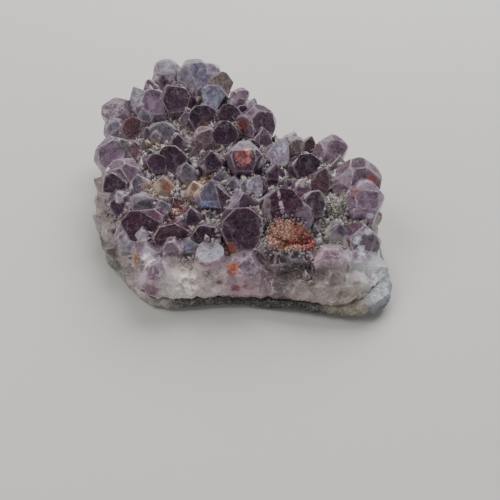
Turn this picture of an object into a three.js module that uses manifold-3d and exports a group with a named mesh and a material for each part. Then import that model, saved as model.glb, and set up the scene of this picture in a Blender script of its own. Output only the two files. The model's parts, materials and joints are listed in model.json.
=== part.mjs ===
import * as THREE from 'three';
import { ConvexGeometry } from 'three/addons/geometries/ConvexGeometry.js';
import { mergeVertices } from 'three/addons/utils/BufferGeometryUtils.js';
import Module from 'manifold-3d';

// A hand specimen of rough amethyst: a crust of whitish quartz on a thin plate of grey-green
// host rock, crowded with six-sided purple points. Millimetres, +Z up, resting on z = 0. The
// front is at -Y, where the crust is broken through and both layers show.

const AMETHYST = { color: 0x5d4a63, roughness: 0.3, metalness: 0 };
const ROCK = { color: 0x6f7468, roughness: 0.9, metalness: 0 };

// Driving dimensions. A share is a fraction of the way from the middle of the plate to its rim.
const MIDDLE_OF_PLATE = [-3, -6];
const CENTRE_OF_BOX = [-2.61, -4.21];
const RIM_STEPS = 40;
const PLATEAU_HEIGHT = 18.4;
const PLATEAU_SLOPE = 0.07;
const PLATEAU_SHARE = 0.58;
const EDGE_ROUNDING = 1.15;

// The rock is flat underneath. Its rings above that, from the bottom: share of the way out, part
// of the shelf taken off that, height as a part of the rock's top, and unevenness
const UNDERSIDE_SHARE = 0.93;
const ROCK_RINGS = [
  { share: 0.975, shelf: 0, ofTop: 0.2, rough: 0.7 },
  { share: 0.995, shelf: 0, ofTop: 0.45, rough: 0.9 },
  { share: 0.982, shelf: 0.15, ofTop: 0.85, rough: 0.6 },
];

// Rock and quartz meet on one surface with a gap. From the rim in, it runs to a level middle.
const LAYER_GAP = 0.3;
const LAYER_HEIGHT = 5;
const MEETING_RINGS = [
  { share: 0.975, shelf: 0.75, ofRise: 0.92 },
  { share: 0.8, shelf: 0, ofRise: 0.4 },
];

// What the quartz keeps clear of round the rock's edge
const CLEARANCE_SHARE = 1.03;
const CLEARANCE_LIFT = 0.8;

// Rings of the quartz: two up its broken edge, at a part of the edge's height, and two above it
const WALL_RINGS = [
  { share: 0.99, shelf: 1, ofWall: 0.4, rough: 0.9 },
  { share: 0.975, shelf: 1, ofWall: 0.8, rough: 1 },
];
const BROW_RINGS = [
  { share: 0.93, shelf: 1, rough: 1 },
  { share: 0.8, shelf: 0.5, rough: 1 },
];

// Quartz: the angle between a tip face's outward normal and the crystal's long axis
const TIP_FACE_ANGLE = THREE.MathUtils.degToRad(51.8);
const SIXTH_TURN = Math.PI / 3;
const SIX_FACED_FROM_WIDTH = 8;
const SIDE_FACE_SPREAD = [0.88, 1.12];
const SMALL_TIP_FACE_SETBACK = [0.06, 0.3];

// Forms of a tip, by how far its faces stand off the tip as a part of half the width: the four
// beside the first face and the opposite one for `ridge`, and all six under a flat cap for `cap`
const FORMS = {
  point: { ridge: 0, cap: 0 },
  chisel: { ridge: 0.38, cap: 0 },
  blunt: { ridge: 0.12, cap: 0.24 },
  disc: { ridge: 0, cap: 0.7 },
};

// The plate's rim seen from above, counterclockwise from the front left corner: x, y, top of
// the rock there, top of the quartz there, and how far the rock stands out past the quartz
const RIM = [
  [-31, -53.5, 4.5, 11, 0.5],
  [-21, -54.5, 5, 11.5, 0.5],
  [-9, -53.5, 4.5, 11.5, 0.8],
  [3, -53.5, 4, 10.5, 1],
  [15, -54.5, 4, 10, 1],
  [27, -57, 4.5, 10, 1.5],
  [38, -59, 6, 10.5, 3],
  [46, -57.5, 8.5, 11, 6],
  [51, -51, 9, 11, 6],
  [51, -41, 7, 11.5, 3],
  [50, -29, 6, 13, 0.5],
  [48.5, -17, 6.5, 14, 0],
  [43, -6, 7, 15, 0],
  [33, 3, 7, 15, 0],
  [21, 10, 7, 15, 0],
  [12, 19, 7, 16, 0],
  [3, 29, 8, 17, 0],
  [-7, 38, 8, 18, 0],
  [-19, 43.5, 9, 19, 0],
  [-31, 42, 9, 18, 0],
  [-42, 35, 9, 16, 0],
  [-49.5, 24, 9, 15, 0],
  [-54, 11, 9, 14, 0],
  [-55.5, -3, 9, 13, 0],
  [-55, -15, 9, 12, 0.5],
  [-51.5, -27, 8.5, 11, 1],
  [-46, -37, 7, 10, 1.5],
  [-39, -47, 5.5, 9, 1],
];

// The crystals that can be told apart: name, tip x, y, z, lean to +X and to +Y (run over rise),
// width, the direction of one tip face, in degrees from -Y towards +X, and the form of the tip
const POINTS = [
  ['back_cap', -31.5, 44, 34, -0.1, 0.3, 11, 10, 'blunt'],
  ['back_left_nub', -35.5, 38, 32, -0.4, 0.3, 4, 0, 'point'],
  ['twin_left', -38, 36, 31, -0.35, 0.25, 7, 20, 'point'],
  ['white_point', -43, 31, 30.5, -0.35, 0.2, 10, 25, 'point'],
  ['lilac_back', -35.5, 28.5, 30, -0.15, 0.05, 11.5, 0, 'chisel'],
  ['aubergine_back', -27, 29, 32, -0.05, 0.05, 12.5, 5, 'chisel'],
  ['mauve_corner', -52.5, 28, 26, -0.55, 0.25, 11.5, 15, 'blunt'],
  ['corner_low', -52, 18, 23.5, -0.6, 0.1, 8.5, 30, 'blunt'],
  ['wine', -43, 16, 26, -0.2, 0, 9.5, 10, 'chisel'],
  ['grey_face', -31, 14.5, 25.5, 0, 0, 11, 0, 'chisel'],
  ['left_dark_small', -36.5, 12.5, 25, 0.1, -0.1, 5, 25, 'point'],
  ['slate_small', -33, 11, 24.5, 0, -0.2, 5.5, 0, 'point'],
  ['green_lump', -46, 13, 22, -0.3, 0, 7, 40, 'point'],
  ['great_back', -19.5, 43.5, 34, 0, 0.3, 16, 30, 'blunt'],
  ['back_shoulder', -12, 43.5, 33, 0.25, 0.3, 6.5, 0, 'blunt'],
  ['olive_edge', -7.5, 38, 31, 0.4, 0.3, 9.5, 20, 'chisel'],
  ['blue_back', -11, 32, 30, 0.1, 0.05, 10, 350, 'chisel'],
  ['round_pink', 0, 32, 29, 0.3, 0.3, 7, 10, 'blunt'],
  ['grey_by_pink', -3, 30, 28, 0, 0.1, 6.5, 35, 'point'],
  ['white_edge', 5, 29.5, 26.5, 0.5, 0.4, 5.5, 0, 'point'],
  ['dark_back_mid', -15.5, 20.5, 29, 0, 0, 11.5, 15, 'chisel'],
  ['dark_wide_left', -5.5, 18.5, 30, -0.1, 0, 9.5, 0, 'chisel'],
  ['dark_wide_right', 0.5, 19, 29, 0.15, 0, 9, 20, 'chisel'],
  ['red_back', 0.5, 15, 28, 0.1, -0.1, 9, 5, 'point'],
  ['dark_mid_back', -6.5, 10.5, 28, 0, -0.1, 10.5, 0, 'chisel'],
  ['pinkish_mid', -15, 10, 26, -0.1, 0, 9.5, 25, 'blunt'],
  ['right_back_big', 7.5, 18, 29.5, 0.35, 0.2, 14, 20, 'blunt'],
  ['sliver', 20, 10, 25.5, 0.5, 0.4, 5.5, 0, 'point'],
  ['great_triangle', 15.5, 2, 29, 0, 0, 14, 335, 'point'],
  ['arch_behind', 20, 4, 27, 0.2, 0.2, 9, 20, 'blunt'],
  ['brown_lilac', 26, 5, 27, 0.3, 0.3, 9.5, 10, 'point'],
  ['grey_mauve_right', 34.5, 2.5, 28, 0.35, 0.3, 10.5, 0, 'blunt'],
  ['small_pale_right', 31, -2.5, 26, 0.1, 0, 6, 15, 'point'],
  ['brown_pink', 35.5, -4.5, 26, 0.3, 0.1, 7.5, 30, 'point'],
  ['dark_purple_right', 23, -6.5, 27, 0, 0, 10.5, 10, 'chisel'],
  ['maroon_right', 29.5, -12.5, 27, 0.05, -0.05, 11, 340, 'point'],
  ['pale_blue_triangle', 6, -16, 26.5, 0.1, -0.1, 8, 345, 'point'],
  ['left_big', -50.5, 3, 26, -0.45, 0.05, 13.5, 20, 'blunt'],
  ['left_fused', -45, -8, 24, -0.3, -0.05, 13.5, 0, 'blunt'],
  ['left_low_dark', -46.5, -13, 22.5, -0.4, -0.1, 10.5, 15, 'chisel'],
  ['dark_left_inner', -31.5, -3, 25, 0, 0, 8.5, 10, 'chisel'],
  ['dark_left_middle', -26, -1.5, 26, 0, 0, 12, 0, 'chisel'],
  ['bright_tooth', -43, -20, 22.5, -0.3, -0.1, 4.5, 0, 'point'],
  ['slate_left', -35, -22.5, 22, -0.1, -0.1, 10, 20, 'blunt'],
  ['rim_brown', -51, -18, 19.5, -0.8, -0.1, 7, 0, 'point'],
  ['grey_lilac_left', -45, -20, 20, -0.5, -0.2, 9.5, 30, 'blunt'],
  ['black_centre', -11, -4.5, 28, 0, 0, 9.5, 15, 'point'],
  ['red_centre', 1, -5, 30, 0, 0, 13, 0, 'blunt'],
  ['ridge_right_centre', 6, -6, 27.5, 0.1, -0.1, 6.5, 20, 'point'],
  ['blue_centre', -10, -20, 28, 0, -0.05, 12.5, 350, 'point'],
  ['beige_patch', -16.5, -17.5, 25, -0.1, 0, 8.5, 10, 'point'],
  ['grey_pyramid_left', -3, -16, 26, 0, -0.1, 6, 0, 'point'],
  ['grey_pyramid_right', 1, -16, 25, 0, 0, 5.5, 20, 'point'],
  ['outer_centre', 1, -25.5, 27.5, 0, 0, 18, 20, 'point'],
  ['inner_centre', 0.5, -34.5, 26.5, 0, -0.1, 16, 5, 'chisel'],
  ['great_magenta', 14.5, -29.5, 30, 0, -0.05, 16.5, 350, 'chisel'],
  ['dark_by_magenta', 25, -26, 27, 0.1, -0.1, 9.5, 10, 'chisel'],
  ['speckled_right', 33.5, -24, 22.5, 0.1, -0.1, 10, 25, 'point'],
  ['mauve_right', 41, -14, 30, 0, 0.1, 15.5, 15, 'blunt'],
  ['mauve_right_low', 42.5, -23, 28, 0.1, 0, 12.5, 0, 'blunt'],
  ['blue_right', 41, -36.5, 23, 0.1, -0.1, 13.5, 10, 'point'],
  ['left_deep', -33.5, -31.5, 24, -0.1, -0.2, 15.5, 0, 'chisel'],
  ['left_deep_low', -24, -36.5, 22, 0, -0.25, 13, 15, 'chisel'],
  ['small_point', -33, -36, 20.5, -0.1, -0.3, 6, 0, 'point'],
  ['white_lump', -31.5, -43.5, 17, -0.2, -0.5, 11.5, 20, 'blunt'],
  ['front_left_lump', -28, -50.5, 14.5, -0.2, -0.7, 11.5, 0, 'blunt'],
  ['left_side_purple', -41, -32.5, 17, -0.5, -0.4, 9, 10, 'blunt'],
  ['left_side_pale', -40, -37.5, 14, -0.6, -0.6, 9, 0, 'blunt'],
  ['blue_white_small', -17, -40, 20.5, 0, -0.2, 6, 0, 'point'],
  ['lilac_disc', -10, -43.5, 18.5, 0, 0, 9.5, 30, 'disc'],
  ['dark_front_mid', -12, -36, 22, 0, -0.1, 9.5, 15, 'chisel'],
  ['orange_front', 1, -47.5, 16, 0, -0.4, 15.5, 0, 'blunt'],
  ['grey_round', 8.5, -40, 19, 0, -0.2, 8.5, 20, 'blunt'],
  ['dull_front', -23, -42, 18.5, -0.1, -0.4, 9.5, 0, 'blunt'],
  ['pink_brown_left', 13, -46, 16.5, 0, -0.5, 8.5, 15, 'blunt'],
  ['pink_brown_middle', 18, -45, 17.5, 0, -0.5, 8.5, 0, 'blunt'],
  ['pink_brown_right', 23.5, -45, 17, 0.1, -0.4, 6.5, 20, 'point'],
  ['magenta_foot', -6, -48, 14.5, 0, -0.7, 10, 20, 'blunt'],
  ['pink_front', 29.5, -45, 18, 0.05, -0.3, 12.5, 0, 'blunt'],
  ['corner_front_right', 39, -44, 16, 0.1, -0.4, 12, 15, 'blunt'],
  ['front_mass_right', 45, -44, 13.5, 0.3, -0.2, 11, 10, 'blunt'],
  ['front_block_right', 31, -50.5, 13.5, 0.1, -0.7, 10, 10, 'blunt'],
  ['front_block_corner', 38, -52.5, 12.5, 0.2, -0.8, 9, 25, 'blunt'],
  ['front_block_middle', 20, -52, 11, 0, -0.8, 8, 5, 'blunt'],
  ['front_block_small', 11.5, -51, 11, 0, -0.9, 6, 20, 'blunt'],
  ['front_block_left', -14, -50.5, 12.5, 0, -0.9, 9, 0, 'blunt'],
  ['front_block_far_left', -21, -51, 12, -0.1, -0.9, 8, 20, 'blunt'],
  ['back_slope_left', -25, 38, 27, 0, 0.1, 8, 0, 'point'],
  ['back_slope_right', -16, 33, 27, 0.1, 0.1, 7.5, 20, 'point'],
  ['saddle_left', -22, 21.5, 26, -0.1, 0, 8, 0, 'point'],
  ['saddle_right', 8, 10, 27, 0.1, 0, 8.5, 25, 'point'],
  ['left_inner_back', -39, 22.5, 26.5, -0.1, 0, 8, 15, 'point'],
  ['left_dark_back', -24, 8, 25.5, 0, 0, 7.5, 0, 'point'],
  ['hollow_rim', -48, 9, 21.5, -0.4, 0, 8, 0, 'point'],
  ['middle_left', -20, -8, 25.5, 0, 0, 8.5, 20, 'point'],
  ['low_middle_left', -28, -13, 23.5, 0, 0, 8.5, 0, 'point'],
  ['left_middle_low', -37, -12, 23.5, -0.1, 0, 8, 10, 'point'],
  ['right_middle', 12, -9, 26, 0.1, 0, 8, 0, 'point'],
  ['right_of_middle', 21, -16, 25, 0, 0, 8, 20, 'point'],
  ['right_low', 33, -33, 21, 0.1, -0.1, 9, 0, 'point'],
  ['front_magenta_foot', 20, -36, 20.5, 0, -0.3, 10, 10, 'point'],
  ['low_centre_left', -17, -28, 23, 0, -0.1, 9, 10, 'point'],
  ['left_edge_low', -27.5, -24.5, 23, 0, 0, 7, 25, 'point'],
];

// The named crystals reach down into the crust by this much, but no lower than the foot height
const NAMED_LENGTH = 18;
const LOWEST_FOOT = 7;

// Smaller crystals scattered where the crust is free: a loose grid and what each one may be
const SCATTER_GRID = { fromX: -48, toX: 46, fromY: -46, toY: 40, step: 6 };
const SCATTER_WIDTH = [5, 7.5];
const SCATTER_STAND = [3, 5.5];
const SCATTER_TO_SHARE = 0.9;
const SCATTER_CLEARANCE = 1.4;
const SCATTER_LEAN_FROM_SHARE = 0.45;
const SCATTER_OUTWARD_LEAN = 0.5;
const SCATTER_STRAY_LEAN = 0.3;
const SCATTER_DEPTH = 3;

// A row of leaning crystals round the crust's edge, bare between two angles from the front
const EDGE_STEP = 9.5;
const EDGE_WIDTH = [6.5, 9.5];
const EDGE_LEAN = [0.9, 1.4];
const EDGE_STAND = [0, 2.5];
const EDGE_OVERHANG = 0.3;
const EDGE_DEPTH = 5;
const EDGE_BARE = [-0.9, 1.25];

// Numbers that tell apart the repeatable choices: of the kinds of crystal, and for one crystal
const FIRST_SCATTER_ITEM = 200;
const FIRST_EDGE_ITEM = 600;
const CHOICE = {
  tipFace: 10, x: 20, y: 21, stand: 22, leanX: 23, leanY: 24, width: 25, turn: 26, lean: 27,
};

const WELD_DISTANCE = 1e-4;
const CORNER_TOLERANCE = 1e-6;

const wasm = await Module();
wasm.setup();

// A repeatable number from 0 to 1 for the key-th choice made for item number `item`
function chance(item, key) {
  const wave = Math.sin(item * 12.9898 + key * 78.233) * 43758.5453;
  return wave - Math.floor(wave);
}

function between(range, share) {
  return range[0] + (range[1] - range[0]) * share;
}

function toSolid(geometry) {
  const bare = geometry.clone();
  for (const name of Object.keys(bare.attributes)) {
    if (name !== 'position') bare.deleteAttribute(name);
  }
  const merged = mergeVertices(bare, WELD_DISTANCE);
  return new wasm.Manifold(new wasm.Mesh({
    numProp: 3,
    vertProperties: new Float32Array(merged.attributes.position.array),
    triVerts: new Uint32Array(merged.index.array),
  }));
}

function toGeometry(solid) {
  const mesh = solid.getMesh();
  const geometry = new THREE.BufferGeometry();
  geometry.setAttribute('position', new THREE.BufferAttribute(mesh.vertProperties, 3));
  geometry.setIndex(new THREE.BufferAttribute(mesh.triVerts, 1));
  geometry.computeVertexNormals();
  return geometry;
}

// The rim's five values at equal steps round the plate, on one smooth closed curve
function rimStations() {
  const closedCurve = (points) => new THREE.CatmullRomCurve3(points, true, 'centripetal');
  const places = closedCurve(RIM.map(([x, y]) => new THREE.Vector3(x, y, 0)));
  const heights = closedCurve(RIM.map(([, , rock, quartz, shelf]) => (
    new THREE.Vector3(rock, quartz, shelf))));
  const stations = [];
  for (let i = 0; i < RIM_STEPS; i += 1) {
    const { x, y } = places.getPoint(i / RIM_STEPS);
    const { x: rockTop, y: quartzTop, z: shelf } = heights.getPoint(i / RIM_STEPS);
    stations.push({ x, y, rockTop, quartzTop, shelf: Math.max(0, shelf) });
  }
  return stations;
}

// A closed body made of rings round the middle of the plate, from its underside to its top
function ringBody(rings, underside, top) {
  const count = rings[0].length;
  const vertices = rings.flat();
  const undersideIndex = vertices.push(underside) - 1;
  const topIndex = vertices.push(top) - 1;
  const faces = [];
  for (let i = 0; i < count; i += 1) {
    const next = (i + 1) % count;
    faces.push(undersideIndex, next, i);
    for (let ring = 0; ring + 1 < rings.length; ring += 1) {
      const low = ring * count;
      const high = low + count;
      faces.push(low + i, low + next, high + next, low + i, high + next, high + i);
    }
    const last = (rings.length - 1) * count;
    faces.push(last + i, last + next, topIndex);
  }
  const geometry = new THREE.BufferGeometry();
  geometry.setAttribute('position', new THREE.Float32BufferAttribute(vertices.flat(), 3));
  geometry.setIndex(faces);
  return geometry;
}

// One ring: each station at `share` of the way out, less part of the shelf if asked, at a height
// of its own, with up to `rough` of unevenness that `key` picks
function ring(stations, { share, height, shelf = 0, rough = 0, key = 0 }) {
  const [midX, midY] = MIDDLE_OF_PLATE;
  return stations.map((station, i) => {
    const reach = Math.hypot(station.x - midX, station.y - midY);
    const bump = rough * (2 * chance(i, key) - 1);
    const lift = rough * (2 * chance(i, key + 0.5) - 1);
    const scale = share + (bump - station.shelf * shelf) / reach;
    return [
      midX + (station.x - midX) * scale,
      midY + (station.y - midY) * scale,
      Math.max(0, height(station) + lift),
    ];
  });
}

function yAtShare(station, share) {
  return MIDDLE_OF_PLATE[1] + (station.y - MIDDLE_OF_PLATE[1]) * share;
}

// The crust's flat middle, which rises gently to the back
function plateauHeight(y) {
  return PLATEAU_HEIGHT + PLATEAU_SLOPE * (y - MIDDLE_OF_PLATE[1]);
}

// Height of the quartz between the crystals
function crustHeight(station, share) {
  const inset = Math.min(1, (1 - share) / (1 - PLATEAU_SHARE));
  const climb = 1 - (1 - inset) ** EDGE_ROUNDING;
  return station.quartzTop + (plateauHeight(yAtShare(station, share)) - station.quartzTop) * climb;
}

// The rings where rock and quartz meet, or that much lower or higher
function meetingRings(stations, lift) {
  return MEETING_RINGS.map(({ share, shelf, ofRise }) => {
    const height = (s) => LAYER_HEIGHT + (s.rockTop - LAYER_HEIGHT) * ofRise + lift;
    return ring(stations, { share, shelf, height });
  });
}

// Host rock: flat underneath, chipped round the edge, and a nose at the front right corner
function rockGeometry(stations) {
  const [midX, midY] = MIDDLE_OF_PLATE;
  const edge = ROCK_RINGS.map(({ share, shelf, ofTop, rough }, key) => (
    ring(stations, { share, shelf, height: (s) => s.rockTop * ofTop, rough, key })));
  const rings = [
    ring(stations, { share: UNDERSIDE_SHARE, height: () => 0 }),
    ...edge,
    ...meetingRings(stations, -LAYER_GAP),
  ];
  return ringBody(rings, [midX, midY, 0], [midX, midY, LAYER_HEIGHT - LAYER_GAP]);
}

// The space that the quartz keeps clear of: the rock with a gap all round it, and all below
function rockClearance(stations) {
  const [midX, midY] = MIDDLE_OF_PLATE;
  const { shelf, ofTop } = ROCK_RINGS[ROCK_RINGS.length - 1];
  const rings = [
    ring(stations, { share: CLEARANCE_SHARE, height: () => 0 }),
    ring(stations, { share: CLEARANCE_SHARE, height: (s) => s.rockTop * ofTop }),
    ring(stations, { share: 1, shelf, height: (s) => s.rockTop * ofTop + CLEARANCE_LIFT }),
    ...meetingRings(stations, 0),
  ];
  return ringBody(rings, [midX, midY, 0], [midX, midY, LAYER_HEIGHT]);
}

// The quartz crust before its crystals are added
function crustGeometry(stations) {
  const [midX, midY] = MIDDLE_OF_PLATE;
  const firstWallKey = ROCK_RINGS.length;
  const firstBrowKey = firstWallKey + WALL_RINGS.length;
  const wall = WALL_RINGS.map(({ share, shelf, ofWall, rough }, i) => {
    const height = (s) => s.rockTop + (s.quartzTop - s.rockTop) * ofWall;
    return ring(stations, { share, shelf, height, rough, key: firstWallKey + i });
  });
  const brow = BROW_RINGS.map(({ share, shelf, rough }, i) => {
    const height = (s) => crustHeight(s, share);
    return ring(stations, { share, shelf, height, rough, key: firstBrowKey + i });
  });
  const rings = [
    ...meetingRings(stations, 0).reverse(),
    ...wall,
    ...brow,
    ring(stations, { share: PLATEAU_SHARE, height: (s) => crustHeight(s, PLATEAU_SHARE) }),
  ];
  return ringBody(rings, [midX, midY, LAYER_HEIGHT], [midX, midY, plateauHeight(midY)]);
}

// The corners of the convex body that lies inside every plane of the list
function cornersInside(planes) {
  const corners = [];
  const meet = new THREE.Matrix3();
  for (let i = 0; i < planes.length; i += 1) {
    for (let j = i + 1; j < planes.length; j += 1) {
      for (let k = j + 1; k < planes.length; k += 1) {
        const [a, b, c] = [planes[i], planes[j], planes[k]];
        meet.set(
          a.normal.x, a.normal.y, a.normal.z,
          b.normal.x, b.normal.y, b.normal.z,
          c.normal.x, c.normal.y, c.normal.z);
        if (Math.abs(meet.determinant()) < CORNER_TOLERANCE) continue;
        const corner = new THREE.Vector3(-a.constant, -b.constant, -c.constant);
        corner.applyMatrix3(meet.invert());
        const isInside = planes.every((plane) => plane.distanceToPoint(corner) < CORNER_TOLERANCE);
        if (isInside) corners.push(corner);
      }
    }
  }
  return corners;
}

function planeThrough(normal, point) {
  return new THREE.Plane().setFromNormalAndCoplanarPoint(normal, point);
}

// One quartz crystal: a six-sided prism with a six-sided tip whose alternate faces are larger, or
// on a small one a tip of the three larger faces alone. `item` picks its small irregularities.
function crystalGeometry({ tip, lean, width, turn, form, item, foot, threeFaced }) {
  const axis = new THREE.Vector3(lean[0], lean[1], 1).normalize();
  const towards = new THREE.Vector3(Math.sin(turn), -Math.cos(turn), 0);
  const forward = towards.addScaledVector(axis, -towards.dot(axis)).normalize();
  const side = new THREE.Vector3().crossVectors(axis, forward);
  const apothem = width / 2;
  const { ridge, cap } = FORMS[form];
  const planes = [];
  for (let face = 0; face < 6; face += 1) {
    const out = forward.clone().multiplyScalar(Math.cos(face * SIXTH_TURN))
      .addScaledVector(side, Math.sin(face * SIXTH_TURN));
    const spread = apothem * between(SIDE_FACE_SPREAD, chance(item, face));
    planes.push(planeThrough(out, tip.clone().addScaledVector(out, spread)));
    const isSmallFace = face % 2 === 1;
    if (isSmallFace && threeFaced) continue;
    const tipNormal = out.clone().multiplyScalar(Math.sin(TIP_FACE_ANGLE))
      .addScaledVector(axis, Math.cos(TIP_FACE_ANGLE));
    const setback = between(SMALL_TIP_FACE_SETBACK, chance(item, CHOICE.tipFace + face));
    const standOff = apothem * (cap + (face % 3 ? ridge : 0) + (isSmallFace ? setback : 0));
    planes.push(planeThrough(tipNormal, tip.clone().addScaledVector(tipNormal, standOff)));
  }
  if (cap > 0) planes.push(planeThrough(axis, tip));
  const base = tip.clone().addScaledVector(axis, -(tip.z - foot) / axis.z);
  planes.push(planeThrough(axis.clone().negate(), base));
  return new ConvexGeometry(cornersInside(planes));
}

// The rim station in the direction of (x, y), and how far out towards it the point lies
function stationTowards(stations, x, y) {
  const [midX, midY] = MIDDLE_OF_PLATE;
  const heading = Math.atan2(y - midY, x - midX);
  const offHeading = (s) => {
    const off = Math.abs(Math.atan2(s.y - midY, s.x - midX) - heading);
    return Math.min(off, 2 * Math.PI - off);
  };
  const nearest = stations.reduce((best, s) => (offHeading(s) < offHeading(best) ? s : best));
  const share = Math.hypot(x - midX, y - midY) / Math.hypot(nearest.x - midX, nearest.y - midY);
  return { nearest, share, heading };
}

function namedCrystals() {
  return POINTS.map(([, x, y, z, leanX, leanY, width, turn, form], item) => ({
    tip: new THREE.Vector3(x, y, z),
    lean: [leanX, leanY],
    width,
    turn: THREE.MathUtils.degToRad(turn),
    form,
    item,
    foot: Math.max(LOWEST_FOOT, z - NAMED_LENGTH),
    threeFaced: width < SIX_FACED_FROM_WIDTH,
  }));
}

// True where a small crystal would be swallowed by one of the named ones
function isCrowded(x, y) {
  return POINTS.some(([, tipX, tipY, , , , width]) => (
    Math.hypot(tipX - x, tipY - y) < width / 2 + SCATTER_CLEARANCE));
}

// A small crystal at about (gridX, gridY), or nothing where there is no room for it
function scatteredCrystal(stations, gridX, gridY, item) {
  const x = gridX + SCATTER_GRID.step * (chance(item, CHOICE.x) - 0.5);
  const y = gridY + SCATTER_GRID.step * (chance(item, CHOICE.y) - 0.5);
  const { nearest, share, heading } = stationTowards(stations, x, y);
  if (share > SCATTER_TO_SHARE || isCrowded(x, y)) return [];
  const ground = crustHeight(nearest, share);
  const outward = SCATTER_OUTWARD_LEAN * Math.max(0, share - SCATTER_LEAN_FROM_SHARE);
  return [{
    tip: new THREE.Vector3(x, y, ground + between(SCATTER_STAND, chance(item, CHOICE.stand))),
    lean: [
      outward * Math.cos(heading) + SCATTER_STRAY_LEAN * (chance(item, CHOICE.leanX) - 0.5),
      outward * Math.sin(heading) + SCATTER_STRAY_LEAN * (chance(item, CHOICE.leanY) - 0.5),
    ],
    width: between(SCATTER_WIDTH, chance(item, CHOICE.width)),
    turn: SIXTH_TURN * chance(item, CHOICE.turn),
    form: 'point',
    item,
    foot: ground - SCATTER_DEPTH,
    threeFaced: true,
  }];
}

function scatteredCrystals(stations) {
  const crystals = [];
  let item = FIRST_SCATTER_ITEM;
  for (let x = SCATTER_GRID.fromX; x <= SCATTER_GRID.toX; x += SCATTER_GRID.step) {
    for (let y = SCATTER_GRID.fromY; y <= SCATTER_GRID.toY; y += SCATTER_GRID.step) {
      item += 1;
      crystals.push(...scatteredCrystal(stations, x, y, item));
    }
  }
  return crystals;
}

function edgeCrystal(station, heading, item) {
  const lean = between(EDGE_LEAN, chance(item, CHOICE.lean));
  const height = station.quartzTop + between(EDGE_STAND, chance(item, CHOICE.stand));
  const outwards = new THREE.Vector3(Math.cos(heading), Math.sin(heading), 0);
  return {
    tip: new THREE.Vector3(station.x, station.y, height).addScaledVector(outwards, EDGE_OVERHANG),
    lean: [lean * outwards.x, lean * outwards.y],
    width: between(EDGE_WIDTH, chance(item, CHOICE.width)),
    turn: SIXTH_TURN * chance(item, CHOICE.turn),
    form: 'point',
    item,
    foot: height - EDGE_DEPTH,
    threeFaced: true,
  };
}

// One leaning crystal for each step walked round the rim, but none where the crust is broken
function edgeCrystals(stations) {
  const [midX, midY] = MIDDLE_OF_PLATE;
  const crystals = [];
  let walked = EDGE_STEP;
  stations.forEach((station, i) => {
    const before = stations[(i + stations.length - 1) % stations.length];
    walked += Math.hypot(station.x - before.x, station.y - before.y);
    const heading = Math.atan2(station.y - midY, station.x - midX);
    const fromFront = Math.atan2(Math.cos(heading), -Math.sin(heading));
    const isBare = fromFront > EDGE_BARE[0] && fromFront < EDGE_BARE[1];
    if (walked < EDGE_STEP || isBare) return;
    walked = 0;
    crystals.push(edgeCrystal(station, heading, FIRST_EDGE_ITEM + i));
  });
  return crystals;
}

function crystalSolid(stations) {
  const crystals = [...namedCrystals(), ...scatteredCrystals(stations), ...edgeCrystals(stations)];
  let solid = toSolid(crustGeometry(stations));
  for (const crystal of crystals) {
    solid = solid.add(toSolid(crystalGeometry(crystal)));
  }
  return solid.subtract(toSolid(rockClearance(stations)));
}

function namedMesh(name, geometry, looks) {
  const mesh = new THREE.Mesh(geometry, new THREE.MeshStandardMaterial(looks));
  mesh.name = name;
  mesh.position.set(-CENTRE_OF_BOX[0], -CENTRE_OF_BOX[1], 0);
  return mesh;
}

const specimen = new THREE.Group();
const stations = rimStations();
const rock = toGeometry(toSolid(rockGeometry(stations)));
const crystals = toGeometry(crystalSolid(stations));
specimen.add(namedMesh('matrix_rock', rock, ROCK));
specimen.add(namedMesh('amethyst_crystals', crystals, AMETHYST));

export default specimen;
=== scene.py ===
import itertools
import json
import math

import bmesh
import bpy
import numpy as np
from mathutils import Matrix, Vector, noise
from mathutils.bvhtree import BVHTree

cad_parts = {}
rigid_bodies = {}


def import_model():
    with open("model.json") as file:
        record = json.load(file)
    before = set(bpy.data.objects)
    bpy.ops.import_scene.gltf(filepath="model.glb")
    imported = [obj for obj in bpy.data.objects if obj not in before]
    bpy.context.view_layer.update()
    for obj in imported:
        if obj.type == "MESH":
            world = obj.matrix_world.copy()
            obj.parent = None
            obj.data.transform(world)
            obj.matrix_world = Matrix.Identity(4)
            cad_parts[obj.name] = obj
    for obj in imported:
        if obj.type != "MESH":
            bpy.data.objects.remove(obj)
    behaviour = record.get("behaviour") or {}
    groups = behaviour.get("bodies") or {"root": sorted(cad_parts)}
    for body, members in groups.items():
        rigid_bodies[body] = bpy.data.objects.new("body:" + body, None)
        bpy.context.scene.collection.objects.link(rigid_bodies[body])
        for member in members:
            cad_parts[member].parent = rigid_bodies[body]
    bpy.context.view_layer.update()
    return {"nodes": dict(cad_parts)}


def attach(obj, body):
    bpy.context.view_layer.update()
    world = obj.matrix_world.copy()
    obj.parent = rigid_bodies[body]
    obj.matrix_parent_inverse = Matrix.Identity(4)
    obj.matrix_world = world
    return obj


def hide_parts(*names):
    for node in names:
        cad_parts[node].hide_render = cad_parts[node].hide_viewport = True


# A hand specimen of rough amethyst, dressed. The shape is worked out in millimetres in the part's
# own terms and put into the frame, in metres, when a piece is made. The front is at -Y.
MM = 0.001
SEED = 7

# The plate: middle, offset to the frame's origin, and the crust's level middle
MIDDLE_OF_PLATE = np.array([-3.0, -6.0])
CENTRE_OF_BOX = np.array([-2.61, -4.21, 0.0])
RIM_STEPS = 40
PLATEAU_HEIGHT = 18.4
PLATEAU_SLOPE = 0.07
PLATEAU_SHARE = 0.58
EDGE_ROUNDING = 1.15
LAYER_HEIGHT = 5

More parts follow.
